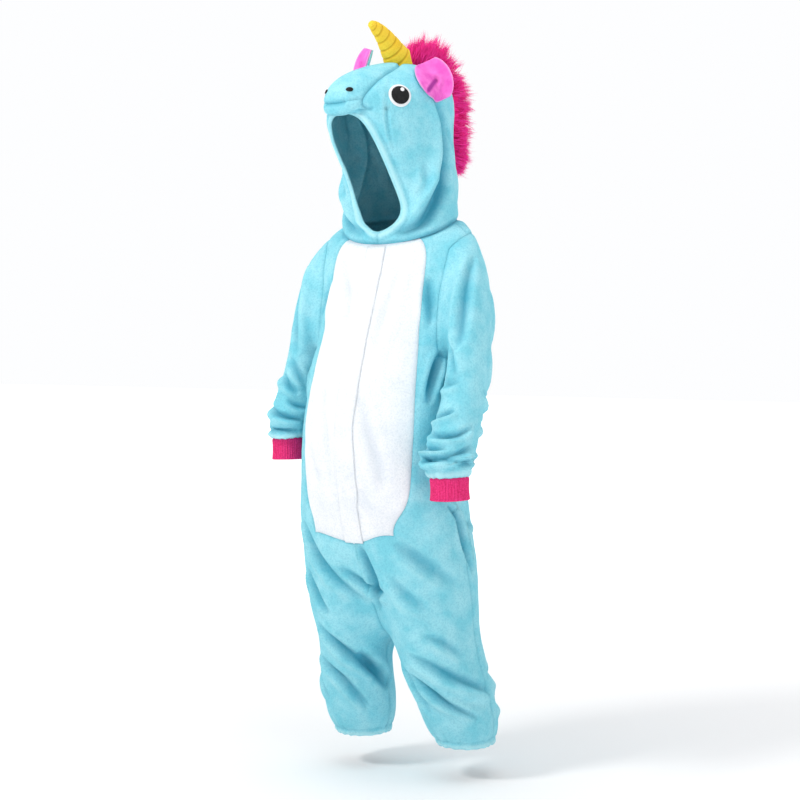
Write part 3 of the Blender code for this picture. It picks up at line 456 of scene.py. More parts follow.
def hood_cage():
    cage = Cage()
    top = len(FACE) + len(NOSE)
    for side, sign in SIDES:
        for row in range(top + 1):
            for column in range(BACK + 1):
                key = hood_key(row, column, sign)
                if key in cage.index:
                    continue
                if row == 0:
                    point = torso_point(NECK_ROW, mirrored(column, sign))
                elif row <= len(FACE):
                    point = face_point(FACE[row - 1], column, sign)
                else:
                    point = nose_point(NOSE[row - 1 - len(FACE)], column, sign)
                cage.add(key, point)
    cage.add("crown", turned((CROWN[0], CROWN[1], level(CROWN[2])), HEAD_TURN))
    first_lip = len(FACE) + 1
    for side, sign in SIDES:
        for row in range(top):
            for column in range(BACK):
                corners = [
                    hood_key(row, column, sign),
                    hood_key(row, column + 1, sign),
                    hood_key(row + 1, column + 1, sign),
                    hood_key(row + 1, column, sign),
                ]
                piece = "hood_" + side
                if row >= first_lip and column < SEAM_COLUMN:
                    piece = "muzzle_lip" if row < first_lip + LIP_ROWS else "muzzle_top"
                add_face(cage, corners, piece, sign, row >= first_lip and column < SIDE)
        for column in range(BACK):
            corners = [hood_key(top, column, sign), hood_key(top, column + 1, sign), "crown"]
            piece = "muzzle_top" if column < SEAM_COLUMN else "hood_" + side
            add_face(cage, corners, piece, sign)
    return cage


def eye_place(sign, across=0.0, up=0.0):
    """A point well outside the hood in front of the eye, and the way to the hood."""
    angle = math.radians(EYE_TURN)
    direction = turned((-sign * math.sin(angle), math.cos(angle), 0.0), HEAD_TURN)
    sideways = turned((sign * math.cos(angle), math.sin(angle), 0.0), HEAD_TURN)
    aim = turned((0.0, NOSE[0].y, level(EYE_HEIGHT + up)), HEAD_TURN)
    return aim - direction + sideways * across, direction


def nostril_place(sign):
    """A point in front of the nostril, and the way to the muzzle."""
    x, y, height = NOSTRIL
    aside, back, down = NOSTRIL_AIM
    direction = turned((-sign * aside, back, down), HEAD_TURN).normalized()
    return turned((sign * x, y, level(height)), HEAD_TURN) - direction * NOSTRIL_REACH, direction


def ear_place(side, sign, x, y, z):
    """World point of a place in the ear's own frame: x across it, -Y its face, z up from its end."""
    ear = EAR[side]
    lean = Matrix.Rotation(math.radians(-ear.lean), 3, "Y") @ Matrix.Rotation(math.radians(-ear.tilt), 3, "X")
    facing = Matrix.Rotation(math.radians(ear.facing), 3, "Z")
    spot = Vector((ear.x, ear.y, level(ear.height)))
    point = spot + facing @ (lean @ Vector((x, y, z)))
    point.x *= sign
    return turned(point, HEAD_TURN)


def clear_of(skin, point, distance, outwards):
    """The point, moved along a direction where a skin is in its way or nearer than a distance."""
    place, normal, _, _ = skin.tree.ray_cast(point + outwards * EAR_LENGTH, -outwards)
    if place is None:
        return point
    slope = max(normal.dot(outwards), EAR_STEEPEST)
    missing = distance / slope - (point - place).dot(outwards)
    return point + outwards * max(0.0, missing)


# ---------------------------------------------------------------- folds
# Folds are paths on the form, listed one by one. depth and width: the crease; rise: the roll of cloth beside
# it, on the side that its sign gives. torso and hood paths are (turn in degrees, height), leg paths
# the same round a leg, and sleeve paths are (ring, degrees round the arm, 0 inside and 90 behind).
Fold = namedtuple("Fold", "depth width rise path")
FOLDS = {
    # hood: darts at the cheeks, the deep rolls round the throat, and the nape
    "hood": (
        Fold(0.0016, 0.0034, 0.0006, ((41, 1.128), (39, 1.080), (38, 1.045), (37, 1.004))),
        Fold(0.0016, 0.0034, -0.0006, ((-40, 1.126), (-38, 1.075), (-38, 1.040), (-36, 1.000))),
        Fold(0.0110, 0.0130, 0.0080,
             ((94, 1.098), (104, 1.057), (98, 1.008), (80, 0.960), (66, 0.918), (50, 0.884), (24, 0.866))),
        Fold(0.0100, 0.0120, -0.0070,
             ((-92, 1.092), (-101, 1.050), (-96, 1.002), (-79, 0.955), (-62, 0.915), (-44, 0.884),
              (-16, 0.868))),
        Fold(0.0045, 0.0090, 0.0020, ((112, 1.050), (120, 1.015), (127, 0.965), (126, 0.915))),
        Fold(0.0040, 0.0080, -0.0020, ((-114, 1.040), (-123, 1.000), (-129, 0.950))),
        Fold(0.0055, 0.0100, 0.0040, ((142, 0.985), (165, 0.968), (192, 0.972), (216, 0.990))),
        Fold(0.0050, 0.0090, 0.0030, ((128, 0.935), (152, 0.915), (182, 0.913), (208, 0.928))),
        Fold(0.0030, 0.0080, 0.0020, ((64, 0.985), (58, 0.950), (49, 0.925))),
        Fold(0.0030, 0.0070, -0.0020, ((-60, 0.990), (-54, 0.955), (-46, 0.928))),
    ),
    # chest and belly, soft
    "torso": (
        Fold(0.0030, 0.0110, 0.0010, ((-47, 0.828), (-37, 0.795), (-24, 0.758), (-15, 0.700))),
        Fold(0.0025, 0.0100, -0.0010, ((38, 0.822), (27, 0.770), (20, 0.712), (17, 0.660))),
        Fold(0.0030, 0.0120, 0.0020, ((8, 0.610), (14, 0.575), (21, 0.528), (27, 0.479), (30, 0.440))),
        Fold(0.0020, 0.0110, -0.0010, ((-30, 0.640), (-22, 0.575), (-16, 0.510), (-14, 0.450))),
        Fold(0.0022, 0.0100, 0.0010, ((-42, 0.520), (-33, 0.478), (-25, 0.452))),
        Fold(0.0018, 0.0090, 0.0010, ((6, 0.455), (14, 0.425), (24, 0.408))),
        # between sleeve and body
        Fold(0.0090, 0.0080, 0.0040, ((63, 0.585), (66, 0.620), (70, 0.650), (75, 0.672))),
        Fold(0.0080, 0.0080, -0.0040, ((-63, 0.590), (-66, 0.625), (-71, 0.655), (-76, 0.674))),
        Fold(0.0050, 0.0100, 0.0030, ((60, 0.795), (61, 0.755), (63, 0.712))),
        Fold(0.0045, 0.0090, -0.0030, ((-60, 0.790), (-61, 0.748), (-64, 0.706))),
        Fold(0.0050, 0.0110, 0.0030, ((84, 0.600), (92, 0.560), (96, 0.515), (94, 0.470))),
        Fold(0.0050, 0.0110, -0.0030, ((-84, 0.605), (-93, 0.560), (-97, 0.510), (-93, 0.462))),
        Fold(0.0040, 0.0100, 0.0030, ((74, 0.560), (84, 0.530), (99, 0.520))),
        # pocket mouths in the side seams
        Fold(0.0090, 0.0060, -0.0060, ((74, 0.420), (82, 0.397), (85, 0.357), (89, 0.330), (95, 0.297))),
        Fold(0.0090, 0.0060, 0.0060, ((-74, 0.420), (-82, 0.397), (-85, 0.357), (-89, 0.330), (-95, 0.297))),
        Fold(0.0035, 0.0070, 0.0030, ((92, 0.382), (104, 0.378), (116, 0.384))),
        # back
        Fold(0.0060, 0.0120, 0.0040, ((128, 0.570), (150, 0.548), (176, 0.545), (206, 0.556), (228, 0.578))),
        Fold(0.0050, 0.0110, 0.0030, ((140, 0.500), (166, 0.482), (196, 0.488))),
        Fold(0.0040, 0.0110, 0.0030, ((172, 0.628), (196, 0.612), (224, 0.618))),
        Fold(0.0045, 0.0120, 0.0020, ((136, 0.760), (142, 0.700), (150, 0.650))),
        Fold(0.0045, 0.0110, -0.0020, ((222, 0.765), (216, 0.705), (211, 0.660))),
        Fold(0.0030, 0.0110, 0.0020, ((158, 0.790), (180, 0.778), (204, 0.786))),
        Fold(0.0070, 0.0110, -0.0050, ((118, 0.318), (138, 0.286), (158, 0.262), (172, 0.246))),
        Fold(0.0065, 0.0110, 0.0050, ((242, 0.322), (222, 0.290), (203, 0.266), (188, 0.250))),
        Fold(0.0040, 0.0100, 0.0020, ((180, 0.330), (181, 0.280), (180, 0.235))),
        # seat to leg, in front
        Fold(0.0070, 0.0100, 0.0050, ((-62, 0.386), (-50, 0.342), (-36, 0.304), (-15, 0.251))),
        Fold(0.0065, 0.0090, 0.0045, ((-64, 0.300), (-54, 0.262), (-44, 0.224))),
        Fold(0.0060, 0.0090, 0.0040, ((-26, 0.310), (-6, 0.285), (15, 0.272), (26, 0.270))),
        Fold(0.0075, 0.0100, 0.0030, ((3, 0.350), (9, 0.318), (15, 0.278), (13, 0.240))),
        Fold(0.0050, 0.0130, 0.0050, ((36, 0.356), (48, 0.338), (60, 0.316), (77, 0.284))),
        Fold(0.0040, 0.0110, 0.0030, ((30, 0.300), (42, 0.268), (58, 0.240))),
    ),
    "leg_right": (
        Fold(0.0070, 0.0090, 0.0050, ((28, 0.205), (4, 0.182), (-18, 0.159), (-44, 0.132), (-60, 0.116))),
        Fold(0.0060, 0.0080, 0.0045, ((44, 0.150), (20, 0.134), (-6, 0.112), (-32, 0.074), (-44, 0.056))),
        Fold(0.0090, 0.0110, -0.0040, ((-34, 0.160), (-60, 0.124), (-88, 0.086))),
        Fold(0.0045, 0.0080, 0.0030, ((70, 0.120), (46, 0.098), (22, 0.066))),
        Fold(0.0060, 0.0100, 0.0040, ((112, 0.128), (146, 0.104), (184, 0.112), (216, 0.136))),
        Fold(0.0050, 0.0090, 0.0035, ((104, 0.082), (138, 0.060), (176, 0.064), (206, 0.082))),
    ),
    "leg_left": (
        Fold(0.0060, 0.0100, 0.0060, ((-16, 0.164), (10, 0.150), (38, 0.128), (70, 0.110), (100, 0.095))),
        Fold(0.0065, 0.0065, 0.0050, ((-26, 0.132), (-2, 0.107), (21, 0.081), (57, 0.057))),
        Fold(0.0045, 0.0090, 0.0030, ((-52, 0.150), (-30, 0.120), (-20, 0.092), (-14, 0.060))),
        Fold(0.0040, 0.0090, 0.0030, ((8, 0.200), (34, 0.186), (62, 0.160))),
        Fold(0.0060, 0.0100, 0.0040, ((108, 0.134), (142, 0.108), (182, 0.104), (220, 0.124))),
        Fold(0.0050, 0.0090, 0.0035, ((118, 0.078), (152, 0.060), (190, 0.070))),
    ),
    # left sleeve: the long crease from the shoulder, then the folds pushed up above the cuff
    "sleeve_left": (
        Fold(0.0060, 0.0090, 0.0050, ((-0.3, -170), (0.2, -140), (0.8, -114), (1.3, -98))),
        Fold(0.0040, 0.0090, -0.0030, ((0.4, -66), (0.9, -74), (1.5, -88), (2.1, -112))),
        Fold(0.0040, 0.0080, 0.0030, ((1.6, -50), (1.9, -80), (2.2, -120))),
        Fold(0.0060, 0.0060, 0.0045, ((2.8, -40), (2.9, -76), (2.9, -112))),
        Fold(0.0060, 0.0060, 0.0045, ((3.3, -40), (3.6, -80), (3.7, -124), (3.5, -160))),
        Fold(0.0050, 0.0050, 0.0040, ((4.0, -20), (4.1, -62), (4.1, -108))),
        Fold(0.0065, 0.0060, 0.0050, ((4.4, -30), (4.6, -80), (4.4, -130), (4.0, -175))),
        Fold(0.0050, 0.0050, 0.0035, ((4.8, -128), (4.7, -160), (4.6, 166))),
        Fold(0.0050, 0.0080, 0.0040, ((1.4, 168), (1.9, 130), (2.2, 92), (2.3, 60))),
        Fold(0.0055, 0.0070, 0.0040, ((2.6, 172), (2.8, 132), (2.7, 90))),
        Fold(0.0055, 0.0070, 0.0040, ((3.4, 150), (3.5, 110), (3.3, 66))),
        Fold(0.0050, 0.0060, 0.0040, ((4.2, 140), (4.4, 96), (4.3, 50))),
        Fold(0.0045, 0.0080, 0.0030, ((0.2, 140), (0.7, 112), (1.2, 96))),
    ),
    "sleeve_right": (
        Fold(0.0045, 0.0090, -0.0040, ((-0.2, -165), (0.4, -136), (1.0, -110), (1.5, -92))),
        Fold(0.0055, 0.0070, 0.0045, ((2.6, -124), (2.7, -98), (2.8, -62))),
        Fold(0.0040, 0.0070, 0.0030, ((1.8, -110), (1.9, -80), (2.1, -48))),
        Fold(0.0065, 0.0060, 0.0050, ((3.9, -150), (4.1, -106), (4.2, -70), (4.2, -26))),
        Fold(0.0050, 0.0050, 0.0040, ((5.0, -130), (5.1, -84), (5.1, -30))),
        Fold(0.0040, 0.0060, 0.0030, ((3.3, -84), (3.4, -56), (3.3, -20))),
        Fold(0.0055, 0.0070, 0.0040, ((2.4, 170), (2.6, 130), (2.7, 84))),
        Fold(0.0055, 0.0070, 0.0040, ((3.4, 168), (3.6, 124), (3.5, 70))),
        Fold(0.0050, 0.0060, 0.0040, ((4.4, 160), (4.6, 110), (4.5, 56))),
        Fold(0.0045, 0.0080, 0.0030, ((0.5, 150), (1.0, 116), (1.6, 96))),
    ),
}
STEPS_BETWEEN = 6           # places on the form for each step of a path
FOLD_REACH = 3.4            # a fold ends this many widths from its path
SIDE_RISE = 0.24            # how much cloth rises on both sides of a crease, as a share of its depth
FOLD_DEPTH = 1.75           # plush this thick folds this much deeper and narrower than the table's lines
FOLD_WIDTH = 0.80
FOLD_ROLL = 1.5             # and the roll beside it stands this much higher
PILE = 0.0032               # the pile stands this far out from the cut cloth
FOLD_TAPER = 0.75           # how bluntly a fold runs out at its ends
FOLD_SIDE = 0.15            # how nearly the cloth must face the way that the fold's path does
PAINTED_SHADE_DEPTH = 0.0066       # a crease this deep gets the full painted shade

SOFT_WAVES = ((0.0016, 15.0), (0.0007, 42.0))   # amplitude and frequency of the cloth's small waves
GATHERS = 17.0              # pleats round a gathered end
GATHER_DEPTH = {"hem": 0.0014, "wrist": 0.0012}
GATHER_REACH = {"hem": 0.040, "wrist": 0.022}
HEMS_BELOW = 0.2            # heights between which the open ends of legs and sleeves lie
WRISTS_BETWEEN = (0.3, 0.6)
# Depth of the groove along each kind of seam, and its half width.
SEAM_GROOVES = {
    frozenset(("muzzle_top", "muzzle_lip")): (0.0045, 0.0042),
    frozenset(("hood", "muzzle_top")): (0.0034, 0.0036),
    frozenset(("hood", "muzzle_lip")): (0.0034, 0.0036),
    frozenset(("belly", "front")): (0.0020, 0.0038),
    frozenset(("belly",)): (0.0008, 0.0040),
}
MOUTH = frozenset(("muzzle_top", "muzzle_lip"))
MOUTH_HALF = 0.020          # the mouth's groove fades out this far beside the centre front
PLAIN_GROOVE = (0.0017, 0.0036)
NECK_GROOVE = (0.0042, 0.0055)
HEM_WIDTH = 0.010           # the turned edge round an opening
HEM_RAISE = 0.0022
HEM_THICKNESS = 0.0026      # extra thickness of a turned edge
RIM_STEPS = 4
SEAM_ROUNDNESS = 0.15
SEAM_SHARE = 0.6            # each side of a seam draws back this much of the gap
LINING_PAINTED_SHADE = 0.12         # painted shade on the inside of the cloth, where little light falls


class Skin:
    """Fine rounded form of a cage, which the folds and the seams then shape."""

    def __init__(self, cage):
        mesh = bpy.data.meshes.new("cage")
        mesh.from_pydata([tuple(point) for point in cage.points], [], cage.faces)
        for number, piece in enumerate(cage.pieces):
            mesh.polygons[number].material_index = piece
        for _ in cage.names:
            mesh.materials.append(None)
        body = bpy.data.objects.new("cage", mesh)
        bpy.context.scene.collection.objects.link(body)
        modifier = body.modifiers.new("Subdivision", "SUBSURF")
        modifier.levels = LEVELS
        modifier.render_levels = LEVELS
        fine = bpy.data.meshes.new_from_object(body.evaluated_get(bpy.context.evaluated_depsgraph_get()))
        count = len(fine.vertices)
        flat = np.empty(count * 3)
        fine.vertices.foreach_get("co", flat)
        self.points = flat.reshape(-1, 3).copy()
        fine.vertices.foreach_get("normal", flat)
        self.normals = flat.reshape(-1, 3).copy()
        corners = np.empty(len(fine.loops), dtype=np.int64)
        fine.loops.foreach_get("vertex_index", corners)
        self.faces = corners.reshape(-1, 4)
        self.pieces = np.empty(len(fine.polygons), dtype=np.int64)
        fine.polygons.foreach_get("material_index", self.pieces)
        self.names = cage.names
        self.lift = np.full(count, PILE)
        # painted light for each point: positive is painted shade in creases, grooves and pleats, negative is
        # a painted highlight on rolls and hems
        self.painted_light_and_tone = np.zeros(count)
        self.edge = np.ones(count)
        self.tree = BVHTree.FromPolygons([tuple(point) for point in self.points], self.faces.tolist())
        bpy.data.objects.remove(body, do_unlink=True)
        bpy.data.meshes.remove(mesh)
        bpy.data.meshes.remove(fine)

    def hit(self, origin, direction):
        place, normal, _, _ = self.tree.ray_cast(origin, direction)
        return place, normal

    def settle(self):
        """Move the points by their lifts; what lies on the cloth is laid on this form."""
        self.points = self.points + self.normals * self.lift[:, None]
        self.tree = BVHTree.FromPolygons([tuple(point) for point in self.points], self.faces.tolist())


def between(table, height, fields):
    """Values of some of a table's columns at a height."""
    rows = sorted(table, key=lambda row: row.height)
    heights = [row.height for row in rows]
    return [float(np.interp(height, heights, [getattr(row, field) for row in rows])) for field in fields]


def torso_ray(turn, height):
    x, y = between(TORSO, height, ("x", "y"))
    angle = math.radians(turn)
    return Vector((x, y, level(height))), Vector((math.sin(angle), -math.cos(angle), 0.0))


def leg_ray(side, turn, height):
    sign = dict(SIDES)[side]
    x, y = between(LEG[side], height, ("x", "y"))
    angle = math.radians(turn)
    return Vector((sign * x, y, level(height))), Vector((sign * math.sin(angle), -math.cos(angle), 0.0))


def sleeve_ray(side, share, turn):
    """From the middle of the arm at a place along its rings, out at a turn round it."""
    sign = dict(SIDES)[side]
    rings = ARM[side]
    place = min(max(share, -0.4), len(rings) - 1.001)
    number = max(int(place), 0)
    part = place - number
    columns = [a + (b - a) * part for a, b in zip(rings[number], rings[number + 1])]
    ring = ArmRing(*columns)
    middle = Vector(((ring.inner + ring.outer) / 2, ring.y, (ring.inner_height + ring.outer_height) / 2))
    inwards = Vector((ring.inner, ring.y, ring.inner_height)) - middle
    angle = math.radians(turn)
    way = inwards.normalized() * math.cos(angle) + Vector((0.0, 1.0, 0.0)) * math.sin(angle)
    middle.x *= sign
    middle.z = level(middle.z)
    way.x *= sign
    return middle, way.normalized()


def hood_ray(turn, height):
    y = between(FACE + NOSE, height, ("y",))[0]
    head_turn = float(np.interp(height, [row.height for row in FACE], [row.turn for row in FACE]))
    angle = math.radians(turn)
    origin = turned((0.0, y, level(height)), head_turn)
    return origin, turned((math.sin(angle), -math.cos(angle), 0.0), head_turn)


def fold_ray(part, first, second):
    kind, _, side = part.partition("_")
    if kind == "torso":
        return torso_ray(first, second)
    if kind == "leg":
        return leg_ray(side, first, second)
    if kind == "sleeve":
        return sleeve_ray(side, first, second)
    return hood_ray(first, second)


def smooth_between(a, b, c, d, t):
    """Place between b and c, a share t of the way, on the smooth curve through four points."""
    square = (2 * a - 5 * b + 4 * c - d) * t ** 2
    return 0.5 * (2 * b + (c - a) * t + square + (3 * b - a - 3 * c + d) * t ** 3)


def smooth_path(path):
    """Places along a smooth curve through a path's points."""
    points = [path[0], *path, path[-1]]
    places = []
    for number in range(1, len(points) - 2):
        a, b, c, d = (np.array(points[number + offset], dtype=float) for offset in (-1, 0, 1, 2))
        for step in range(STEPS_BETWEEN):
            t = step / STEPS_BETWEEN
            places.append(smooth_between(a, b, c, d, t))
    places.append(np.array(path[-1], dtype=float))
    return places


def add_fold(skin, part, fold):
    """Sink a crease along its path and raise the cloth beside it."""
    line = []
    for first, second in smooth_path(fold.path):
        place, normal = skin.hit(*fold_ray(part, first, second))
        if place is not None:
            line.append((place, normal))
    if len(line) < 3:
        return
    path = np.array([place for place, _ in line])
    path_normals = np.array([normal for _, normal in line])
    reach = FOLD_REACH * fold.width
    near = ((skin.points > path.min(0) - reach) & (skin.points < path.max(0) + reach)).all(1)
    chosen = np.nonzero(near)[0]
    points = skin.points[chosen]
    best = np.full(len(chosen), np.inf)
    along = np.zeros(len(chosen))
    beside = np.zeros(len(chosen))
    alike = np.zeros(len(chosen))
    for number in range(len(path) - 1):
        start = path[number]
        step = path[number + 1] - start
        length = np.linalg.norm(step)
        if length < 1e-6:
            continue
        share = np.clip((points - start) @ step / length ** 2, 0.0, 1.0)
        offset = points - start - share[:, None] * step
        distance = np.linalg.norm(offset, axis=1)
        closer = distance < best
        best[closer] = distance[closer]
        along[closer] = (number + share[closer]) / (len(path) - 1)
        sideways = np.cross(step / length, path_normals[number])
        beside[closer] = (offset @ sideways)[closer]
        alike[closer] = (skin.normals[chosen] @ path_normals[number])[closer]
    taper = np.sin(math.pi * along) ** FOLD_TAPER * (alike > FOLD_SIDE)
    depth = fold.depth * FOLD_DEPTH
    width = fold.width * FOLD_WIDTH * (0.65 + 0.35 * taper)
    signed = np.where(beside < 0, -best, best)
    crease = np.exp(-(best / width) ** 2)
    sides = np.exp(-((best - 2.0 * width) / (1.1 * width)) ** 2)
    roll = np.exp(-((signed * np.sign(fold.rise) - 1.9 * width) / (1.3 * width)) ** 2)
    change = -depth * crease + SIDE_RISE * depth * sides + abs(fold.rise) * FOLD_ROLL * roll
    skin.lift[chosen] += taper * change
    # painted shade along the crease, and a painted highlight on the roll beside it
    shade = (fold.depth / PAINTED_SHADE_DEPTH) * np.exp(-(best / (1.15 * width)) ** 2)
    skin.painted_light_and_tone[chosen] += taper * (shade - 0.22 * roll)


def add_waves(skin):
    """Small soft waves all over, so that no panel is quite even."""
    for amplitude, frequency in SOFT_WAVES:
        waves = [noise.noise(Vector(point) * frequency) for point in skin.points]
        skin.lift += amplitude * np.array(waves)


def edges_of(faces):
    """Directed border edges of some faces."""
    starts = np.concatenate([faces[:, slot] for slot in range(4)])
    ends = np.concatenate([faces[:, (slot + 1) % 4] for slot in range(4)])
    keys = np.minimum(starts, ends) * (faces.max() + 1) + np.maximum(starts, ends)
    _, place, count = np.unique(keys, return_index=True, return_counts=True)
    single = place[count == 1]
    return starts[single], ends[single]


def distance_to(points, targets):
    tree = kdtree.KDTree(len(targets))
    for number, target in enumerate(targets):
        tree.insert(target, number)
    tree.balance()
    return np.array([tree.find(point)[2] for point in points])


def kind_of(name):
    return name if name.startswith("muzzle") else name.rsplit("_", 1)[0]


def add_seams(skin, neck):
    """Groove along every seam, and a raised turned edge round every opening; painted shade in the grooves and
    along the stitching, and a painted highlight on the turned edge.
    """
    owners = {}
    for number, name in enumerate(skin.names):
        faces = skin.faces[skin.pieces == number]
        starts, ends = edges_of(faces)
        for corner in set(starts.tolist()) | set(ends.tolist()):
            owners.setdefault(corner, set()).add(name)
    starts, ends = edges_of(skin.faces)
    free = set(starts.tolist()) | set(ends.tolist())
    grooves = {}
    for corner, names in owners.items():
        if corner in free and len(names) == 1:
            continue
        kinds = frozenset(kind_of(name) for name in names)
        if kinds == MOUTH and abs(turned(skin.points[corner], -HEAD_TURN)[0]) > MOUTH_HALF:
            kinds = frozenset(("muzzle_lip",))
        size = NECK_GROOVE if corner in neck else SEAM_GROOVES.get(kinds, PLAIN_GROOVE)
        grooves.setdefault(size, []).append(corner)
    grooves.setdefault(NECK_GROOVE, []).extend(sorted(neck))
    change = np.zeros(len(skin.points))
    for (depth, width), corners in grooves.items():
        distance = distance_to(skin.points, skin.points[corners])
        change = np.minimum(change, -depth * np.exp(-(distance / width) ** 2))
    # painted shade in the seam grooves, as deep as the groove
    skin.painted_light_and_tone += np.abs(change) / PAINTED_SHADE_DEPTH
    skin.lift += change
    opening = sorted(free - neck)
    distance = distance_to(skin.points, skin.points[opening])
    skin.edge = distance
    band = np.exp(-((distance - HEM_WIDTH * 0.45) / (HEM_WIDTH * 0.5)) ** 2)
    stitched = np.exp(-((distance - HEM_WIDTH * 1.3) / (HEM_WIDTH * 0.25)) ** 2)
    skin.lift += HEM_RAISE * band - HEM_RAISE * 0.7 * stitched
    # painted shade along the stitched line, painted highlight on the raised turned edge
    skin.painted_light_and_tone += 0.25 * stitched - 0.55 * band
    return opening


def add_gathers(skin, opening):
    """Uneven pleats that run out from the gathered hems and wrists."""
    points = skin.points[opening]
    low = points[:, 2] < level(HEMS_BELOW)
    wrists = (points[:, 2] > level(WRISTS_BETWEEN[0])) & (points[:, 2] < level(WRISTS_BETWEEN[1]))
    for kind, mask in (("hem", low), ("wrist", wrists)):
        for sign in (1, -1):
            ring = points[mask & (points[:, 0] * sign > 0)]
            centre = ring.mean(0)
            distance = distance_to(skin.points, ring)
            near = distance < GATHER_REACH[kind] * 2.2
            offset = skin.points[near] - centre
            turn = np.arctan2(offset[:, 1], offset[:, 0])
            wave = np.cos(GATHERS * turn + 1.3 * np.sin(3.0 * turn + sign)) * (0.7 + 0.3 * np.sin(2.0 * turn))
            fall = np.exp(-(distance[near] / GATHER_REACH[kind]) ** 2)
            skin.lift[near] += GATHER_DEPTH[kind] * wave * fall
            # painted shade in the troughs of the pleats
            skin.painted_light_and_tone[near] += 0.25 * np.clip(-wave, 0.0, 1.0) * fall


# ---------------------------------------------------------------- pieces
def make_piece(name, points, faces, material, node, slot, painted_light_and_tone=None):
    """One shown piece that stands for a CAD node."""
    mesh = bpy.data.meshes.new(name)
    mesh.from_pydata([tuple(point) for point in points], [], faces)
    mesh.materials.append(material)
    mesh.shade_smooth()
    if painted_light_and_tone is not None:
        layer = mesh.attributes.new("painted_light_and_tone", "FLOAT", "POINT")
        layer.data.foreach_set("value", np.asarray(painted_light_and_tone, dtype=np.float32))
    piece = bpy.data.objects.new(name, mesh)
    bpy.context.scene.collection.objects.link(piece)
    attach(piece, "root")
    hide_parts(node)
    return piece


def shell(skin, name, opening):
    """Points, faces and painted light (shade and highlights) of the thin closed wall of one piece."""
    faces = skin.faces[skin.pieces == skin.names.index(name)]
    used, flat = np.unique(faces, return_inverse=True)
    quads = flat.reshape(-1, 4)
    outer = skin.points[used]
    normals = skin.normals[used]
    count = len(used)
    free = np.isin(used, opening)
    thickness = CLOTH + HEM_THICKNESS * np.exp(-(skin.edge[used] / HEM_WIDTH) ** 2)
    starts, ends = edges_of(quads)
    centres = np.zeros((count, 3))
    uses = np.zeros(count)
    middles = outer[quads].mean(1)
    for slot in range(4):
        np.add.at(centres, quads[:, slot], middles)
        np.add.at(uses, quads[:, slot], 1)
    steps = outer[ends] - outer[starts]
    steps /= np.linalg.norm(steps, axis=1)[:, None]
    tangents = np.zeros((count, 3))
    np.add.at(tangents, starts, steps)
    np.add.at(tangents, ends, steps)
    border = np.unique(np.concatenate([starts, ends]))
    inward = centres[border] / uses[border][:, None] - outer[border]
    length = np.linalg.norm(tangents[border], axis=1)
    tangent = tangents[border] / np.maximum(length, 1e-9)[:, None]
    tangent[length < 1.2] = 0.0
    inward -= tangent * (inward * tangent).sum(1)[:, None]
    inward -= normals[border] * (inward * normals[border]).sum(1)[:, None]
    inward /= np.linalg.norm(inward, axis=1)[:, None]
    outer = outer.copy()
    outer[border] += inward * SEAM_GAP * SEAM_SHARE
    inner = outer - normals * thickness[:, None]
    place = np.full(count, -1)
    place[border] = np.arange(len(border))
    half = thickness[border][:, None] / 2
    middle = outer[border] - normals[border] * half
    round_off = np.where(free[border], 1.0, SEAM_ROUNDNESS)[:, None]
    rim = []
    for step in range(1, RIM_STEPS):
        angle = math.pi * step / RIM_STEPS
        rim.append(middle + normals[border] * half * math.cos(angle)
                   - inward * half * math.sin(angle) * round_off)
    points = np.concatenate([outer, inner, *rim])

    def row(corners, step):
        if step == 0:
            return corners
        if step == RIM_STEPS:
            return corners + count
        return 2 * count + (step - 1) * len(border) + place[corners]

    solid = quads.tolist() + (quads[:, ::-1] + count).tolist()
    for step in range(RIM_STEPS):
        solid += np.stack([row(ends, step), row(starts, step),
                           row(starts, step + 1), row(ends, step + 1)], 1).tolist()
    painted_light_and_tone = skin.painted_light_and_tone[used]
    # the inside gets an even painted shade, and the turned rim repeats the painted light of the outer face
    shade = np.concatenate([painted_light_and_tone, np.full(count, LINING_PAINTED_SHADE)] + [painted_light_and_tone[border]] * (RIM_STEPS - 1))
    return points, solid, shade


# ---------------------------------------------------------------- cuffs, placket, pockets
CUFF_POINTS = 336
CUFF_RIBS = 42
RIB_HEIGHT = 0.0007
CUFF_ROWS = 22
CUFF_LINING_ROWS = 8
CUFF_TURN_STEPS = 6         # steps round its folded lower edge
CUFF_WINDOW = 31            # points over which the sleeve's folds are smoothed out of the cuff
CUFF_TUCK = 0.0016          # how far it is drawn in at the seam, and over which share of its length
CUFF_TUCK_SHARE = 0.07
PLACKET_ACROSS = 12
PLACKET_STEPS = 150
PLACKET_SOFTNESS = 0.0012   # how far the strip's edges sink
POCKET_TOP, POCKET_BOTTOM = 0.400, 0.268
POCKET_TURNS = (44.0, 92.0)
POCKET_GRID = 24


def closed_ring(points, ends):
    """Points of a tube's lower end in order, evenly spaced."""
    follow = dict(zip(ends[0].tolist(), ends[1].tolist()))
    rings = []
    while follow:
        start = next(iter(follow))
        ring = [start]
        number = follow.pop(start)
        while number != start:
            ring.append(number)
            number = follow.pop(number)
        rings.append(points[ring])
    ring = min(rings, key=lambda line: line[:, 2].mean())
    loop = np.vstack([ring, ring[:1]])
    length = np.concatenate([[0.0], np.cumsum(np.linalg.norm(np.diff(loop, axis=0), axis=1))])
    wanted = np.linspace(0.0, length[-1], CUFF_POINTS, endpoint=False)
    return np.stack([np.interp(wanted, length, loop[:, axis]) for axis in range(3)], 1)


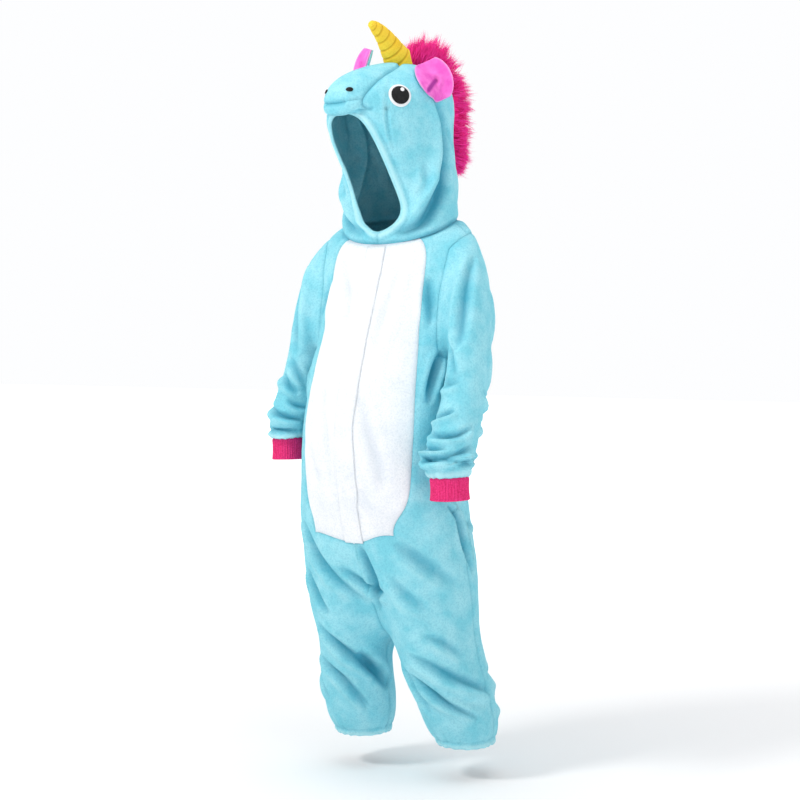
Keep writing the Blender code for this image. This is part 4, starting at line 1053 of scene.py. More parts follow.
def cuff(skin, side):
    """Ribbed tube below a sleeve, doubled at its lower edge."""
    faces = skin.faces[skin.pieces == skin.names.index("sleeve_" + side)]
    ring = closed_ring(skin.points, edges_of(faces))
    centre = ring.mean(0)
    spokes = ring - centre
    down = np.cross(spokes[0], spokes[CUFF_POINTS // 4])
    down /= np.linalg.norm(down)
    if down[2] > 0:
        down = -down
    spokes -= np.outer(spokes @ down, down)
    reach = np.linalg.norm(spokes, axis=1)
    window = np.ones(CUFF_WINDOW) / CUFF_WINDOW
    smooth = np.convolve(np.tile(reach, 3), window, "same")[CUFF_POINTS:2 * CUFF_POINTS]
    ways = spokes / reach[:, None]
    ribs = RIB_HEIGHT * np.cos(math.tau * CUFF_RIBS * np.arange(CUFF_POINTS) / CUFF_POINTS)
    start = SEAM_GAP * 1.2
    profile = []
    for step in range(CUFF_ROWS + 1):
        share = step / CUFF_ROWS
        size = 1.0 - (1.0 - CUFF_SQUEEZE) * math.sin(math.pi * share)
        tuck = CUFF_TUCK * math.exp(-(share / CUFF_TUCK_SHARE) ** 2)
        profile.append((start + (CUFF_LENGTH - start - RIB / 2) * share, size, -tuck, 1.0))
    for step in range(1, CUFF_TURN_STEPS):
        angle = math.pi * step / CUFF_TURN_STEPS
        fall = CUFF_LENGTH - RIB / 2 * (1 - math.sin(angle))
        profile.append((fall, 1.0, -RIB / 2 * (1 - math.cos(angle)), math.cos(angle / 2)))
    for step in range(CUFF_LINING_ROWS, -1, -1):
        share = step / CUFF_LINING_ROWS
        size = 1.0 - (1.0 - CUFF_SQUEEZE) * math.sin(math.pi * share)
        profile.append((start + (CUFF_LENGTH - start - RIB / 2) * share, size, -RIB, 0.0))
    rows = []
    for fall, size, inset, ribbed in profile:
        radius = smooth * size + inset + ribs * ribbed
        rows.append(centre + ways * radius[:, None] + down * fall)
    points = np.concatenate(rows)
    return points, outward(points, tube_faces(len(rows), CUFF_POINTS, closed=True))


def tube_faces(rings, around, closed=False):
    """Quads between rings of points; a closed tube's last ring joins its first."""
    faces = []
    for ring in range(rings if closed else rings - 1):
        first = ring * around
        second = (ring + 1) % rings * around
        for spoke in range(around):
            beside = (spoke + 1) % around
            faces.append([first + spoke, first + beside, second + beside, second + spoke])
    return faces


def outward(points, faces):
    """Faces of a closed form, turned over as a whole if they point in."""
    total = 0.0
    for face in faces:
        a, b, c = (np.asarray(points[number]) for number in face[:3])
        total += np.dot(a, np.cross(b, c))
        if len(face) == 4:
            d = np.asarray(points[face[3]])
            total += np.dot(a, np.cross(c, d))
    return faces if total > 0 else [face[::-1] for face in faces]


def grid_solid(front, back):
    """Closed solid between two grids of points of the same size."""
    rows = len(front)
    across = len(front[0])
    points = [point for row in front for point in row] + [point for row in back for point in row]
    count = rows * across
    faces = []
    for row in range(rows - 1):
        for column in range(across - 1):
            corner = row * across + column
            face = [corner, corner + 1, corner + across + 1, corner + across]
            faces.append(face)
            faces.append([number + count for number in reversed(face)])
    rim = list(range(across))
    rim += [row * across + across - 1 for row in range(1, rows)]
    rim += [(rows - 1) * across + column for column in range(across - 2, -1, -1)]
    rim += [row * across for row in range(rows - 2, 0, -1)]
    for a, b in zip(rim, rim[1:] + rim[:1]):
        faces.append([b, a, a + count, b + count])
    return points, outward(points, faces)


def placket(skin):
    """Strip over the centre seam of the belly, laid on the belly's form, with soft edges."""
    left = skin.faces[skin.pieces == skin.names.index("belly_left")]
    right = skin.faces[skin.pieces == skin.names.index("belly_right")]
    seam = skin.points[np.intersect1d(left, right)]
    seam = seam[np.argsort(seam[:, 2])]
    trim = (SEAM_GAP + CLOTH) * 2
    front = []
    back = []
    for height in np.linspace(seam[0, 2], seam[-1, 2] - trim, PLACKET_STEPS):
        middle = float(np.interp(height, seam[:, 2], seam[:, 0]))
        outer_row = []
        inner_row = []
        for column in range(PLACKET_ACROSS + 1):
            share = 2.0 * column / PLACKET_ACROSS - 1.0
            start = Vector((middle + share * PLACKET_HALF_WIDTH, -1.0, height))
            place, normal = skin.hit(start, Vector((0.0, 1.0, 0.0)))
            base = place + normal * (SEAM_GAP + PLACKET_CLEARANCE)
            inner_row.append(base)
            outer_row.append(base + normal * (CLOTH - PLACKET_SOFTNESS * abs(share) ** 5))
        front.append(outer_row)
        back.append(inner_row)
    return grid_solid(front, back)


def pocket(skin, sign):
    """Bag of cloth inside the side seam, just behind the wall."""
    front = []
    back = []
    for height in np.linspace(POCKET_BOTTOM, POCKET_TOP, POCKET_GRID):
        outer_row = []
        inner_row = []
        for turn in np.linspace(*POCKET_TURNS, POCKET_GRID):
            angle = math.radians(turn)
            direction = Vector((-sign * math.sin(angle), math.cos(angle), 0.0))
            centre = Vector((TORSO[BELLY_ROW].x, TORSO[BELLY_ROW].y, level(height)))
            place, _ = skin.hit(centre - direction, direction)
            place = place + direction * (CLOTH + SEAM_GAP + POCKET_DEPTH)
            outer_row.append(place)
            inner_row.append(place + direction * CLOTH)
        front.append(outer_row)
        back.append(inner_row)
    return grid_solid(front, back)


# ---------------------------------------------------------------- face
DISC_RINGS = 8
DISC_SPOKES = 48
DISC_PUFF = 0.0005          # the discs are a little raised in the middle
HORN_AROUND = 72
HORN_ALONG = 150
HORN_TURNS = 6.5            # turns of the wound groove
HORN_GROOVE = 0.052         # its depth as a share of the radius
HORN_GROOVE_WIDTH = 0.11
HORN_FADE = (0.06, 0.05)    # shares of its length over which the groove runs out at foot and tip
HORN_SWELL = 0.02           # how far it swells between the grooves, as a share of the radius
HORN_FOOT = 0.10            # the share of its length that is drawn down to the hood
HORN_TIP_BACK = 0.0055      # the rounded tip, from the last section
HORN_TIP_UP = 0.0015
HORN_SINK = 0.0015          # how far the sewn edge of the horn sits in the pile
EAR_GRID = 40
EAR_PUFF = 0.0022
EAR_FOLD_DEPTH = 0.0090     # a crease this deep has the full painted shade


def disc(skin, centre, towards, half_across, half_up, lift, thickness):
    """Round piece of felt laid on the form, a little raised in its middle."""
    place, normal = skin.hit(centre, towards)
    across = normal.cross(Vector((0.0, 0.0, 1.0))).normalized()
    up = across.cross(normal).normalized()
    points = []
    for side in (1, 0):
        for ring in range(DISC_RINGS + 1):
            share = ring / DISC_RINGS
            for spoke in range(DISC_SPOKES if ring else 1):
                angle = math.tau * spoke / DISC_SPOKES
                offset = across * (half_across * share * math.cos(angle))
                offset += up * (half_up * share * math.sin(angle))
                spot, _ = skin.hit(place + normal * 0.02 + offset, -normal)
                rise = thickness * (1.0 - 0.45 * share ** 8) + DISC_PUFF * (1.0 - share ** 2)
                points.append(spot + normal * (lift + side * rise))
    layer = 1 + DISC_RINGS * DISC_SPOKES
    faces = []
    for side in range(2):
        start = side * layer
        for spoke in range(DISC_SPOKES):
            beside = (spoke + 1) % DISC_SPOKES
            fan = [start, start + 1 + spoke, start + 1 + beside]
            faces.append(fan if side == 0 else fan[::-1])
            for ring in range(DISC_RINGS - 1):
                near = start + 1 + ring * DISC_SPOKES
                far = near + DISC_SPOKES
                face = [near + spoke, far + spoke, far + beside, near + beside]
                faces.append(face if side == 0 else face[::-1])
    edge = 1 + (DISC_RINGS - 1) * DISC_SPOKES
    for spoke in range(DISC_SPOKES):
        beside = (spoke + 1) % DISC_SPOKES
        faces.append([edge + beside, edge + spoke, layer + edge + spoke, layer + edge + beside])
    return points, outward(points, faces)


def along_curve(table, share):
    """Values at a share of the way along a table, on a smooth curve."""
    place = share * (len(table) - 1)
    number = min(int(place), len(table) - 2)
    t = place - number
    a, b, c, d = (np.array(table[min(max(number + step, 0), len(table) - 1)]) for step in (-1, 0, 1, 2))
    return smooth_between(a, b, c, d, t)


def horn(skin):
    """Stuffed cone with a wound groove, sewn down on the crown."""
    rings = []
    shades = []
    for step in range(HORN_ALONG + 1):
        share = step / HORN_ALONG
        y, height, radius = along_curve(HORN, share)
        ahead_y, ahead_height, _ = along_curve(HORN, min(share + 0.01, 1.0))
        back_y, back_height, _ = along_curve(HORN, max(share - 0.01, 0.0))
        along = Vector((0.0, ahead_y - back_y, ahead_height - back_height)).normalized()
        across = Vector((1.0, 0.0, 0.0))
        up = along.cross(across)
        circle = []
        for spoke in range(HORN_AROUND):
            angle = math.tau * spoke / HORN_AROUND
            wound = HORN_TURNS * share ** 0.9 - spoke / HORN_AROUND
            off = abs((wound + 0.5) % 1.0 - 0.5)
            groove = math.exp(-(off / HORN_GROOVE_WIDTH) ** 2)
            fade = min(1.0, share / HORN_FADE[0], (1.0 - share) / HORN_FADE[1])
            swell = 1.0 + HORN_SWELL * (1 - groove) - HORN_GROOVE * groove * fade
            spoke_way = across * math.cos(angle) + up * math.sin(angle)
            point = Vector((0.0, y, level(height))) + spoke_way * radius * swell
            point = turned(point, HEAD_TURN)
            if share < HORN_FOOT:
                place, normal = skin.hit(point + UP * HORN_REACH, -UP)
                foot = place - normal * HORN_SINK
                point = foot.lerp(point, min(1.0, (share / HORN_FOOT)) ** 1.5)
            circle.append(point)
            # painted shade in the wound groove
            shades.append(groove * fade)
        rings.append(circle)
    last = HORN[-1]
    tip = turned((0.0, last.y - HORN_TIP_BACK, level(last.height + HORN_TIP_UP)), HEAD_TURN)
    cap = []
    for step in (1, 2, 3):
        pull = math.sin(math.pi / 2 * step / 4)
        size = math.cos(math.pi / 2 * step / 4)
        centre = sum(rings[HORN_ALONG], Vector()) / HORN_AROUND
        cap.append([centre.lerp(tip, pull) + (point - centre) * size for point in rings[HORN_ALONG]])
        shades += [0.0] * HORN_AROUND
    rings += cap
    points = [point for circle in rings for point in circle]
    base = sum(rings[0], Vector()) / HORN_AROUND
    points += [tip, base]
    shades += [0.0, 0.0]
    faces = tube_faces(len(rings), HORN_AROUND)
    start = (len(rings) - 1) * HORN_AROUND
    for spoke in range(HORN_AROUND):
        beside = (spoke + 1) % HORN_AROUND
        faces.append([start + spoke, start + beside, len(points) - 2])
        faces.append([beside, spoke, len(points) - 1])
    return points, outward(points, faces), shades


# Creases pressed into the ears, in each ear's own plane: across it, up it, and how deep.
EarFold = namedtuple("EarFold", "start end depth width")
EAR_FOLDS = {
    "left": (
        EarFold((-0.025, 0.016), (0.001, 0.036), 0.0110, 0.0040),
        EarFold((0.020, 0.010), (0.012, 0.034), 0.0020, 0.0070),
    ),
    "right": (
        EarFold((-0.002, 0.008), (0.001, 0.040), 0.0060, 0.0060),
        EarFold((0.014, 0.030), (0.006, 0.048), 0.0020, 0.0060),
    ),
}


def ear_sink(side, x, z):
    """How far the ear is pressed back at a place, and how much of a crease it is."""
    sink = 0.0
    crease = 0.0
    for fold in EAR_FOLDS[side]:
        start = Vector(fold.start)
        step = Vector(fold.end) - start
        share = min(max((Vector((x, z)) - start).dot(step) / step.length_squared, 0.0), 1.0)
        distance = (Vector((x, z)) - start - step * share).length
        amount = math.exp(-(distance / fold.width) ** 2)
        beside = math.exp(-((distance / fold.width - 2.2) / 1.1) ** 2)
        sink += fold.depth * amount - 0.35 * fold.depth * beside
        crease = max(crease, amount * fold.depth / EAR_FOLD_DEPTH)
    return sink, crease


def ear_layers(skin, side, sign):
    """Back and face of an ear, the face puffed out and pinched, its lower end on the hood."""
    ahead = ear_place(side, sign, 0.0, -1.0, 0.0) - ear_place(side, sign, 0.0, 0.0, 0.0)
    outwards = ahead.normalized()
    lifts = (0.0, EAR_BACK_THICKNESS, EAR_BACK_THICKNESS + EAR_GAP, EAR_THICKNESS)
    grids = [[] for _ in lifts]
    shades = []
    for step in range(EAR_GRID + 1):
        share = 0.03 + 0.94 * (1 - math.cos(math.pi * step / EAR_GRID)) / 2
        width = EAR_HALF_WIDTH * math.sqrt(1.0 - (2.0 * share - 1.05) ** 2 / 1.12) ** 0.85
        rows = [[] for _ in lifts]
        for column in range(EAR_GRID + 1):
            bend = math.sin(math.pi * (column / EAR_GRID - 0.5))
            x = width * bend
            sink, crease = ear_sink(side, x, EAR_LENGTH * share)
            cup = EAR_CUP * (x / EAR_HALF_WIDTH) ** 2
            point = ear_place(side, sign, x, -cup + sink, EAR_LENGTH * share)
            point = clear_of(skin, point, EAR_CLEARANCE, outwards)
            inside = (1.0 - bend ** 4) * math.sin(math.pi * step / EAR_GRID) ** 0.5
            edge = max(0.0, 1.0 - inside * 1.6)
            for lift, row in zip(lifts, rows):
                extra = EAR_PUFF * inside if lift == EAR_THICKNESS else 0.0
                row.append(point + outwards * (lift + extra))
            # painted shade in the creases, and a painted highlight towards the ear's border
            shades.append(crease - edge)
        for grid, row in zip(grids, rows):
            grid.append(row)
    return grid_solid(grids[1], grids[0]), grid_solid(grids[3], grids[2]), shades + shades


# ---------------------------------------------------------------- mane
MANE_TUFTS = 620
CROWN_LENGTH = 0.38         # how much longer the hairs are at the crown
CROWN_SHARE = 0.40          # and the share of the mane over which that fades
HAIRS_PER_TUFT = 31
HAIR_STEPS = 5
HAIR_WIDTH = 0.0014
HAIR_DROOP = 0.0035         # how far a hair's tip sinks under its weight
HAIR_BOW = 0.0030
TUFT_ROOT = 0.0060          # how far a tuft's hairs spread at the strip and at the tips
TUFT_TIP = 0.0030
TUFT_LENGTH = (0.92, 1.20)
HAIR_LENGTH = (0.88, 1.02)
TUFT_FAN = (0.08, 0.92)     # shares of the half turn over which the tufts fan out
WANDER_ALONG = 0.14         # how far the tips wander, as shares of their reach
WANDER_ACROSS = 0.08
TUFT_TONES = 0.25           # how much the tufts and the hairs in a tuft differ in tone
HAIR_TONES = 0.2
HAIR_TAPER = 0.75
ROOT_PAINTED_SHADE = 0.4            # painted shade: how much darker the hairs are at the root, among the other hairs
# painted shade on the ground of the fur under the long hairs
CORE_PAINTED_SHADE = -0.45
STRAYS = 0.05
STRAY_REACH = 2.2
CORE_SIZE = 0.80            # the dense ground of the fur, as a share of its reach
CORE_ALONG = 90
CORE_AROUND = 24
CORE_BUMPS = 0.0060


def mane_frame(skin, share):
    """Root, way out, way across, way along, half width and reach at a share of the mane's length."""
    angle, fall, half_width, reach = along_curve(MANE, share)
    angle = math.radians(angle)
    across = turned((1.0, 0.0, 0.0), HEAD_TURN)
    centre = turned((0.0, MANE_CENTRE[0], level(MANE_CENTRE[1] - fall)), HEAD_TURN)
    way = turned((0.0, math.sin(angle), math.cos(angle)), HEAD_TURN)
    place, normal = skin.hit(centre + way, -way)
    normal = (normal - across * normal.dot(across)).normalized()
    return place, normal, across, normal.cross(across), half_width, reach


def mane_core(skin):
    """Dense ground of the fur, lumpy, under the long hairs."""
    rings = []
    for step in range(CORE_ALONG + 1):
        share = step / CORE_ALONG
        place, out, across, _, half_width, reach = mane_frame(skin, share)
        end = min(1.0, math.sin(math.pi * min(max(share, 0.02), 0.98)) * 3.0) ** 0.5
        ring = []
        for spoke in range(CORE_AROUND):
            bend = math.tau * spoke / CORE_AROUND
            side = math.cos(bend)
            up = max(math.sin(bend), -0.04)
            lump = 1.0 + CORE_BUMPS / reach * noise.noise((place + across * side * 0.03) * 130.0)
            size = CORE_SIZE * end * lump
            point = place + across * (half_width * side * size)
            point += out * (MANE_LIFT + reach * abs(up) ** 0.7 * size * (1 if up > 0 else -0.2))
            ring.append(point)
        rings.append(ring)
    points = [point for ring in rings for point in ring]
    faces = tube_faces(CORE_ALONG + 1, CORE_AROUND)
    faces.append(list(range(CORE_AROUND))[::-1])
    faces.append([CORE_ALONG * CORE_AROUND + spoke for spoke in range(CORE_AROUND)])
    return points, outward(points, faces)


def scattered(draw):
    return Vector((draw.gauss(0, 1), draw.gauss(0, 1), draw.gauss(0, 1)))


def mane_hairs(skin, draw):
    """Long hairs in tufts: each a narrow tapering ribbon from the sewn strip to the fur's reach."""
    points = []
    faces = []
    shades = []
    for _ in range(MANE_TUFTS):
        share = draw.random()
        place, out, across, along, half_width, reach = mane_frame(skin, share)
        bend = math.pi * draw.uniform(*TUFT_FAN)
        length = draw.uniform(*TUFT_LENGTH) * (1.0 + CROWN_LENGTH * max(0.0, 1.0 - share / CROWN_SHARE))
        side = across * (half_width * math.cos(bend))
        way = side + out * (reach * math.sin(bend) ** 0.7)
        wander = along * draw.gauss(0.0, WANDER_ALONG) + across * draw.gauss(0.0, WANDER_ACROSS)
        tuft_tip = place + way * length + wander * reach - UP * HAIR_DROOP
        tuft_root = place + side * 0.5
        tone = draw.gauss(0.0, TUFT_TONES)
        for _ in range(HAIRS_PER_TUFT):
            root = tuft_root + scattered(draw) * TUFT_ROOT
            root -= out * (root - place).dot(out)
            stray = draw.random() < STRAYS
            tip = tuft_tip + scattered(draw) * (TUFT_TIP * (STRAY_REACH if stray else 1.0))
            tip = root.lerp(tip, draw.uniform(*HAIR_LENGTH))
            bow = scattered(draw) * HAIR_BOW
            flat = (tip - root).cross(scattered(draw)).normalized()
            first = len(points)
            shade = tone + draw.gauss(0.0, HAIR_TONES)
            for step in range(HAIR_STEPS):
                t = step / HAIR_STEPS
                centre = root.lerp(tip, t) + bow * math.sin(math.pi * t) - UP * (HAIR_DROOP * t * t)
                half = HAIR_WIDTH / 2 * (1.0 - HAIR_TAPER * t)
                points += [centre - flat * half, centre + flat * half]
                # random tone of the tuft and hair, with painted shade towards the root
                shades += [shade + t - ROOT_PAINTED_SHADE] * 2
            points.append(tip - UP * HAIR_DROOP)
            shades.append(shade + 1.0 - ROOT_PAINTED_SHADE)
            for step in range(HAIR_STEPS - 1):
                corner = first + 2 * step
                faces.append([corner, corner + 1, corner + 3, corner + 2])
            faces.append([first + 2 * HAIR_STEPS - 2, first + 2 * HAIR_STEPS - 1, first + 2 * HAIR_STEPS])
    return points, faces, shades


# ---------------------------------------------------------------- materials
def linear(code):
    """Linear colour of a six-digit screen colour."""
    channels = [(code >> shift & 255) / 255 for shift in (16, 8, 0)]
    curved = [value / 12.92 if value <= 0.04045 else ((value + 0.055) / 1.055) ** 2.4 for value in channels]
    return curved + [1.0]


class Nodes:
    """Short calls for building one material's nodes."""

    def __init__(self, name):
        self.material = bpy.data.materials.new(name)
        self.material.use_nodes = True
        self.tree = self.material.node_tree
        self.shader = self.tree.nodes["Principled BSDF"]
        self.place = self.add("ShaderNodeTexCoord").outputs["Object"]

    def add(self, kind, **settings):
        node = self.tree.nodes.new(kind)
        for name, value in settings.items():
            setattr(node, name, value)
        return node

    def link(self, source, target):
        self.tree.links.new(source, target)

    def noise(self, scale, detail=2.0, roughness=0.5):
        node = self.add("ShaderNodeTexNoise")
        node.inputs["Scale"].default_value = scale
        node.inputs["Detail"].default_value = detail
        node.inputs["Roughness"].default_value = roughness
        self.link(self.place, node.inputs["Vector"])
        return node.outputs["Fac"]

    def spread(self, value, low, high, to_low=0.0, to_high=1.0):
        return ranged(self.tree, value, low, high, to_low, to_high)

    def mix(self, factor, first, second):
        node = self.add("ShaderNodeMix", data_type="RGBA")
        self.link(factor, node.inputs["Factor"])
        for slot, value in (("A", first), ("B", second)):
            socket = [item for item in node.inputs if item.name == slot and item.type == "RGBA"][0]
            if isinstance(value, list):
                socket.default_value = value
            else:
                self.link(value, socket)
        return [item for item in node.outputs if item.type == "RGBA"][0]

    def attribute(self, name):
        return self.add("ShaderNodeAttribute", attribute_name=name).outputs["Fac"]

    def math(self, operation, first, second):
        node = self.add("ShaderNodeMath", operation=operation)
        for socket, value in zip(node.inputs, (first, second)):
            if isinstance(value, (int, float)):
                socket.default_value = value
            else:
                self.link(value, socket)
        return node.outputs[0]

    def bump(self, height, strength, distance, before=None):
        node = self.add("ShaderNodeBump")
        node.inputs["Strength"].default_value = strength
        node.inputs["Distance"].default_value = distance
        self.link(height, node.inputs["Height"])
        if before is not None:
            self.link(before, node.inputs["Normal"])
        return node.outputs["Normal"]

    def finish(self, colour, roughness, normal, sheen, sheen_tint, specular=0.25):
        shader = self.shader
        self.link(colour, shader.inputs["Base Color"])
        self.link(roughness, shader.inputs["Roughness"])
        self.link(normal, shader.inputs["Normal"])
        shader.inputs["Sheen Weight"].default_value = sheen
        shader.inputs["Sheen Roughness"].default_value = 0.45
        shader.inputs["Sheen Tint"].default_value = sheen_tint
        shader.inputs["Specular IOR Level"].default_value = specular
        return self.material


def plush(name, light, middle, deep, painted_highlight, sheen=0.35, pile=1.0):
    """Short pile: strokes of lighter and darker nap and tufts in random tone, painted shade in creases,
    grooves and pleats, painted highlights on rolls and hems.
    """
    nodes = Nodes(name)
    nap = nodes.spread(nodes.noise(26.0, 3.0, 0.6), 0.36, 0.64)
    colour = nodes.mix(nap, linear(middle), linear(light))
    tufts = nodes.noise(330.0 / pile, 3.0, 0.65)
    colour = nodes.mix(nodes.spread(tufts, 0.30, 0.56, 0.26, 0.0), colour, linear(deep))
    # painted shade where the attribute is positive, painted highlight where it is negative
    painted_light_and_tone = nodes.attribute("painted_light_and_tone")
    colour = nodes.mix(nodes.spread(painted_light_and_tone, 0.05, 1.1, 0.0, 0.75), colour, linear(deep))
    colour = nodes.mix(nodes.spread(painted_light_and_tone, -0.05, -0.6, 0.0, 0.7), colour, linear(painted_highlight))
    fibres = nodes.noise(1500.0 / pile, 2.0, 0.6)
    normal = nodes.bump(tufts, 0.55, 0.0022 * pile)
    normal = nodes.bump(fibres, 0.40, 0.0007 * pile, normal)
    roughness = nodes.spread(nodes.noise(60.0, 2.0), 0.3, 0.7, 0.86, 1.0)
    return nodes.finish(colour, roughness, normal, sheen, linear(light), 0.12)


def knit(name, light, deep):
    """Rib knit: rows of small stitches across the ribs, with painted shade between them."""
    nodes = Nodes(name)
    wave = nodes.add("ShaderNodeTexWave", wave_type="BANDS", bands_direction="Z")
    wave.inputs["Scale"].default_value = 190.0
    wave.inputs["Distortion"].default_value = 2.2
    wave.inputs["Detail"].default_value = 2.0
    wave.inputs["Detail Scale"].default_value = 3.0
    nodes.link(nodes.place, wave.inputs["Vector"])
    yarn = nodes.noise(420.0, 3.0, 0.6)
    colour = nodes.mix(nodes.spread(yarn, 0.32, 0.66), linear(deep), linear(light))
    # painted shade in the grooves between the rows of stitches
    colour = nodes.mix(nodes.spread(wave.outputs["Fac"], 0.0, 0.4, 0.35, 0.0), colour, linear(deep))
    normal = nodes.bump(wave.outputs["Fac"], 0.5, 0.0009)
    normal = nodes.bump(nodes.noise(1400.0, 2.0), 0.35, 0.0005, normal)
    roughness = nodes.spread(yarn, 0.3, 0.7, 0.75, 0.95)
    return nodes.finish(colour, roughness, normal, 0.25, linear(light), 0.2)


def fur(name, tip, root):
    """Long hairs, with painted shade at the root, and each a little different in tone."""
    nodes = Nodes(name)
    shade = nodes.spread(nodes.attribute("painted_light_and_tone"), -0.75, 0.75)
    colour = nodes.mix(shade, linear(root), linear(tip))
    patch = nodes.spread(nodes.noise(45.0, 2.0), 0.35, 0.65, 0.0, 0.12)
    colour = nodes.mix(patch, colour, linear(root))
    normal = nodes.bump(nodes.noise(900.0, 2.0), 0.3, 0.0008)
    roughness = nodes.spread(shade, 0.0, 1.0, 0.75, 0.55)
    return nodes.finish(colour, roughness, normal, 0.3, linear(tip), 0.3)


def felt(name, light, deep, specular=0.3, rough=(0.55, 0.8)):
    """Dense matted fibres."""
    nodes = Nodes(name)
    fibres = nodes.noise(900.0, 4.0, 0.65)
    colour = nodes.mix(nodes.spread(fibres, 0.35, 0.65), linear(deep), linear(light))
    normal = nodes.bump(fibres, 0.35, 0.0005)
    roughness = nodes.spread(nodes.noise(220.0, 2.0), 0.3, 0.7, *rough)
    return nodes.finish(colour, roughness, normal, 0.15, linear(light), specular)


def ear_plush(name, light, middle, deep, rim):
    """Pink pile, with painted shade in the pinch and a painted highlight along the rim."""
    nodes = Nodes(name)
    shade = nodes.attribute("painted_light_and_tone")
    nap = nodes.spread(nodes.noise(60.0, 3.0, 0.6), 0.36, 0.64)
    colour = nodes.mix(nap, linear(middle), linear(light))
    # painted shade in the pinch, painted highlight along the rim
    colour = nodes.mix(nodes.spread(shade, 0.25, 1.0, 0.0, 0.9), colour, linear(deep))
    colour = nodes.mix(nodes.spread(shade, -0.30, -0.95, 0.0, 0.75), colour, linear(rim))
    tufts = nodes.noise(420.0, 3.0, 0.65)
    normal = nodes.bump(tufts, 0.45, 0.0014)
    normal = nodes.bump(nodes.noise(1600.0, 2.0), 0.35, 0.0006, normal)
    roughness = nodes.spread(tufts, 0.3, 0.7, 0.85, 1.0)
    return nodes.finish(colour, roughness, normal, 0.4, linear(light), 0.12)


def backdrop_paper(name, code):
    nodes = Nodes(name)
    grain = nodes.noise(3.0, 3.0)
    colour = nodes.mix(nodes.spread(grain, 0.3, 0.7), linear(code), linear(code))
    normal = nodes.bump(nodes.noise(220.0, 2.0), 0.05, 0.0004)
    roughness = nodes.spread(grain, 0.3, 0.7, 0.85, 0.95)
    return nodes.finish(colour, roughness, normal, 0.0, linear(code), 0.2)


def ranged(tree, value, low, high, to_low, to_high):
    """A value of a node tree, moved from one range to another."""
    node = tree.nodes.new("ShaderNodeMapRange")
    names = ("From Min", "From Max", "To Min", "To Max")
    for name, number in zip(names, (low, high, to_low, to_high)):
        node.inputs[name].default_value = number
    tree.links.new(value, node.inputs["Value"])
    return node.outputs["Result"]


def glow_far_away(material):
    """Let the paper sweep fade into the white behind it, away from the garment."""
    tree = material.node_tree
    place = tree.nodes.new("ShaderNodeTexCoord").outputs["Object"]
    length = tree.nodes.new("ShaderNodeVectorMath")
    length.operation = "LENGTH"
    tree.links.new(place, length.inputs[0])
    glow = ranged(tree, length.outputs["Value"], GLOW_NEAR, GLOW_FAR, *GLOW_STRENGTHS)
    shader = next(node for node in tree.nodes if node.type == "BSDF_PRINCIPLED")
    shader.inputs["Emission Color"].default_value = (1.0, 1.0, 1.0, 1.0)
    tree.links.new(glow, shader.inputs["Emission Strength"])
    return material


# ---------------------------------------------------------------- assembly
# The cut of what shows of each piece: width and length of the cloth that it is cut from, and its area.
Cut = namedtuple("Cut", "width length area held")


def build_cloth(body, head, opening, head_opening, looks):
    for kind, look in (("front", "plush_turquoise"), ("back", "plush_turquoise"),
                       ("belly", "plush_white"), ("sleeve", "plush_turquoise")):
        for side, _ in SIDES:
            node = kind + "_" + side
            points, faces, shade = shell(body, node, opening)
            make_piece(node + "_cloth", points, faces, looks[look], node, look, shade)
    nostrils = build_nostrils(head, looks)
    for node in ("hood_left", "hood_right", "muzzle_top", "muzzle_lip"):
        points, faces, shade = shell(head, node, head_opening)
        look = "plush_turquoise"
        piece = make_piece(node + "_cloth", points, faces, looks[look], node, look, shade)


def build_nostrils(head, looks):
    nostrils = []
    for side, sign in SIDES:
        size = (NOSTRIL_HALF_LENGTH, NOSTRIL_HALF_HEIGHT)
        points, faces = disc(head, *nostril_place(sign), *size, DISC_LIFT, FELT)
        nostrils.append(make_piece("nostril_" + side + "_felt", points, faces, looks["felt_black"],
                                   "nostril_" + side, "felt_black"))
    return nostrils


def build_eye(head, looks, side, sign):
    """White, black and glint, each laid on the one before."""
    discs = (("eye_white", EYE_RADIUS, 0.0, 0.0, "felt_white"),
             ("eye_black", PUPIL_RADIUS, 0.0, 0.0, "felt_black"),
             ("eye_glint", GLINT_RADIUS, GLINT_ACROSS * sign, GLINT_UP, "felt_white"))
    lift = DISC_LIFT
    for kind, radius, across, up, look in discs:
        points, faces = disc(head, *eye_place(sign, across, up), radius, radius, lift, FELT)
        node = kind + "_" + side
        make_piece(node + "_felt", points, faces, looks[look], node, look)
        lift += FELT + DISC_PUFF + SEAM_GAP


def build_details(body, head, looks):
    points, faces = placket(body)
    piece = make_piece("placket_cloth", points, faces, looks["plush_white"], "placket", "plush_white")
    for side, sign in SIDES:
        points, faces = cuff(body, side)
        piece = make_piece("cuff_" + side + "_knit", points, faces, looks["rib_magenta"],
                           "cuff_" + side, "rib_magenta")
        points, faces = pocket(body, sign)
        # the bag inside the seam gets an even painted shade
        shade = [0.5] * len(points)
        piece = make_piece("pocket_" + side + "_cloth", points, faces, looks["plush_turquoise"],
                           "pocket_" + side, "plush_turquoise", shade)
        back, face, shades = ear_layers(head, side, sign)
        piece = make_piece("ear_back_" + side + "_cloth", *back, looks["plush_turquoise"],
                           "ear_back_" + side, "plush_turquoise")
        piece = make_piece("ear_face_" + side + "_cloth", *face, looks["plush_pink"],
                           "ear_face_" + side, "plush_pink", shades)
        build_eye(head, looks, side, sign)
    points, faces, shades = horn(head)
    piece = make_piece("horn_stuffed", points, faces, looks["plush_yellow"], "horn", "plush_yellow", shades)
    points, faces = mane_core(head)
    # the ground under the hairs gets painted shade
    shades = [CORE_PAINTED_SHADE] * len(points)
    make_piece("mane_ground", points, faces, looks["fur_magenta"], "mane", "fur_magenta", shades)
    points, faces, shades = mane_hairs(head, random.Random(7))
    make_piece("mane_hairs", points, faces, looks["fur_magenta"], "mane", "fur_magenta", shades)


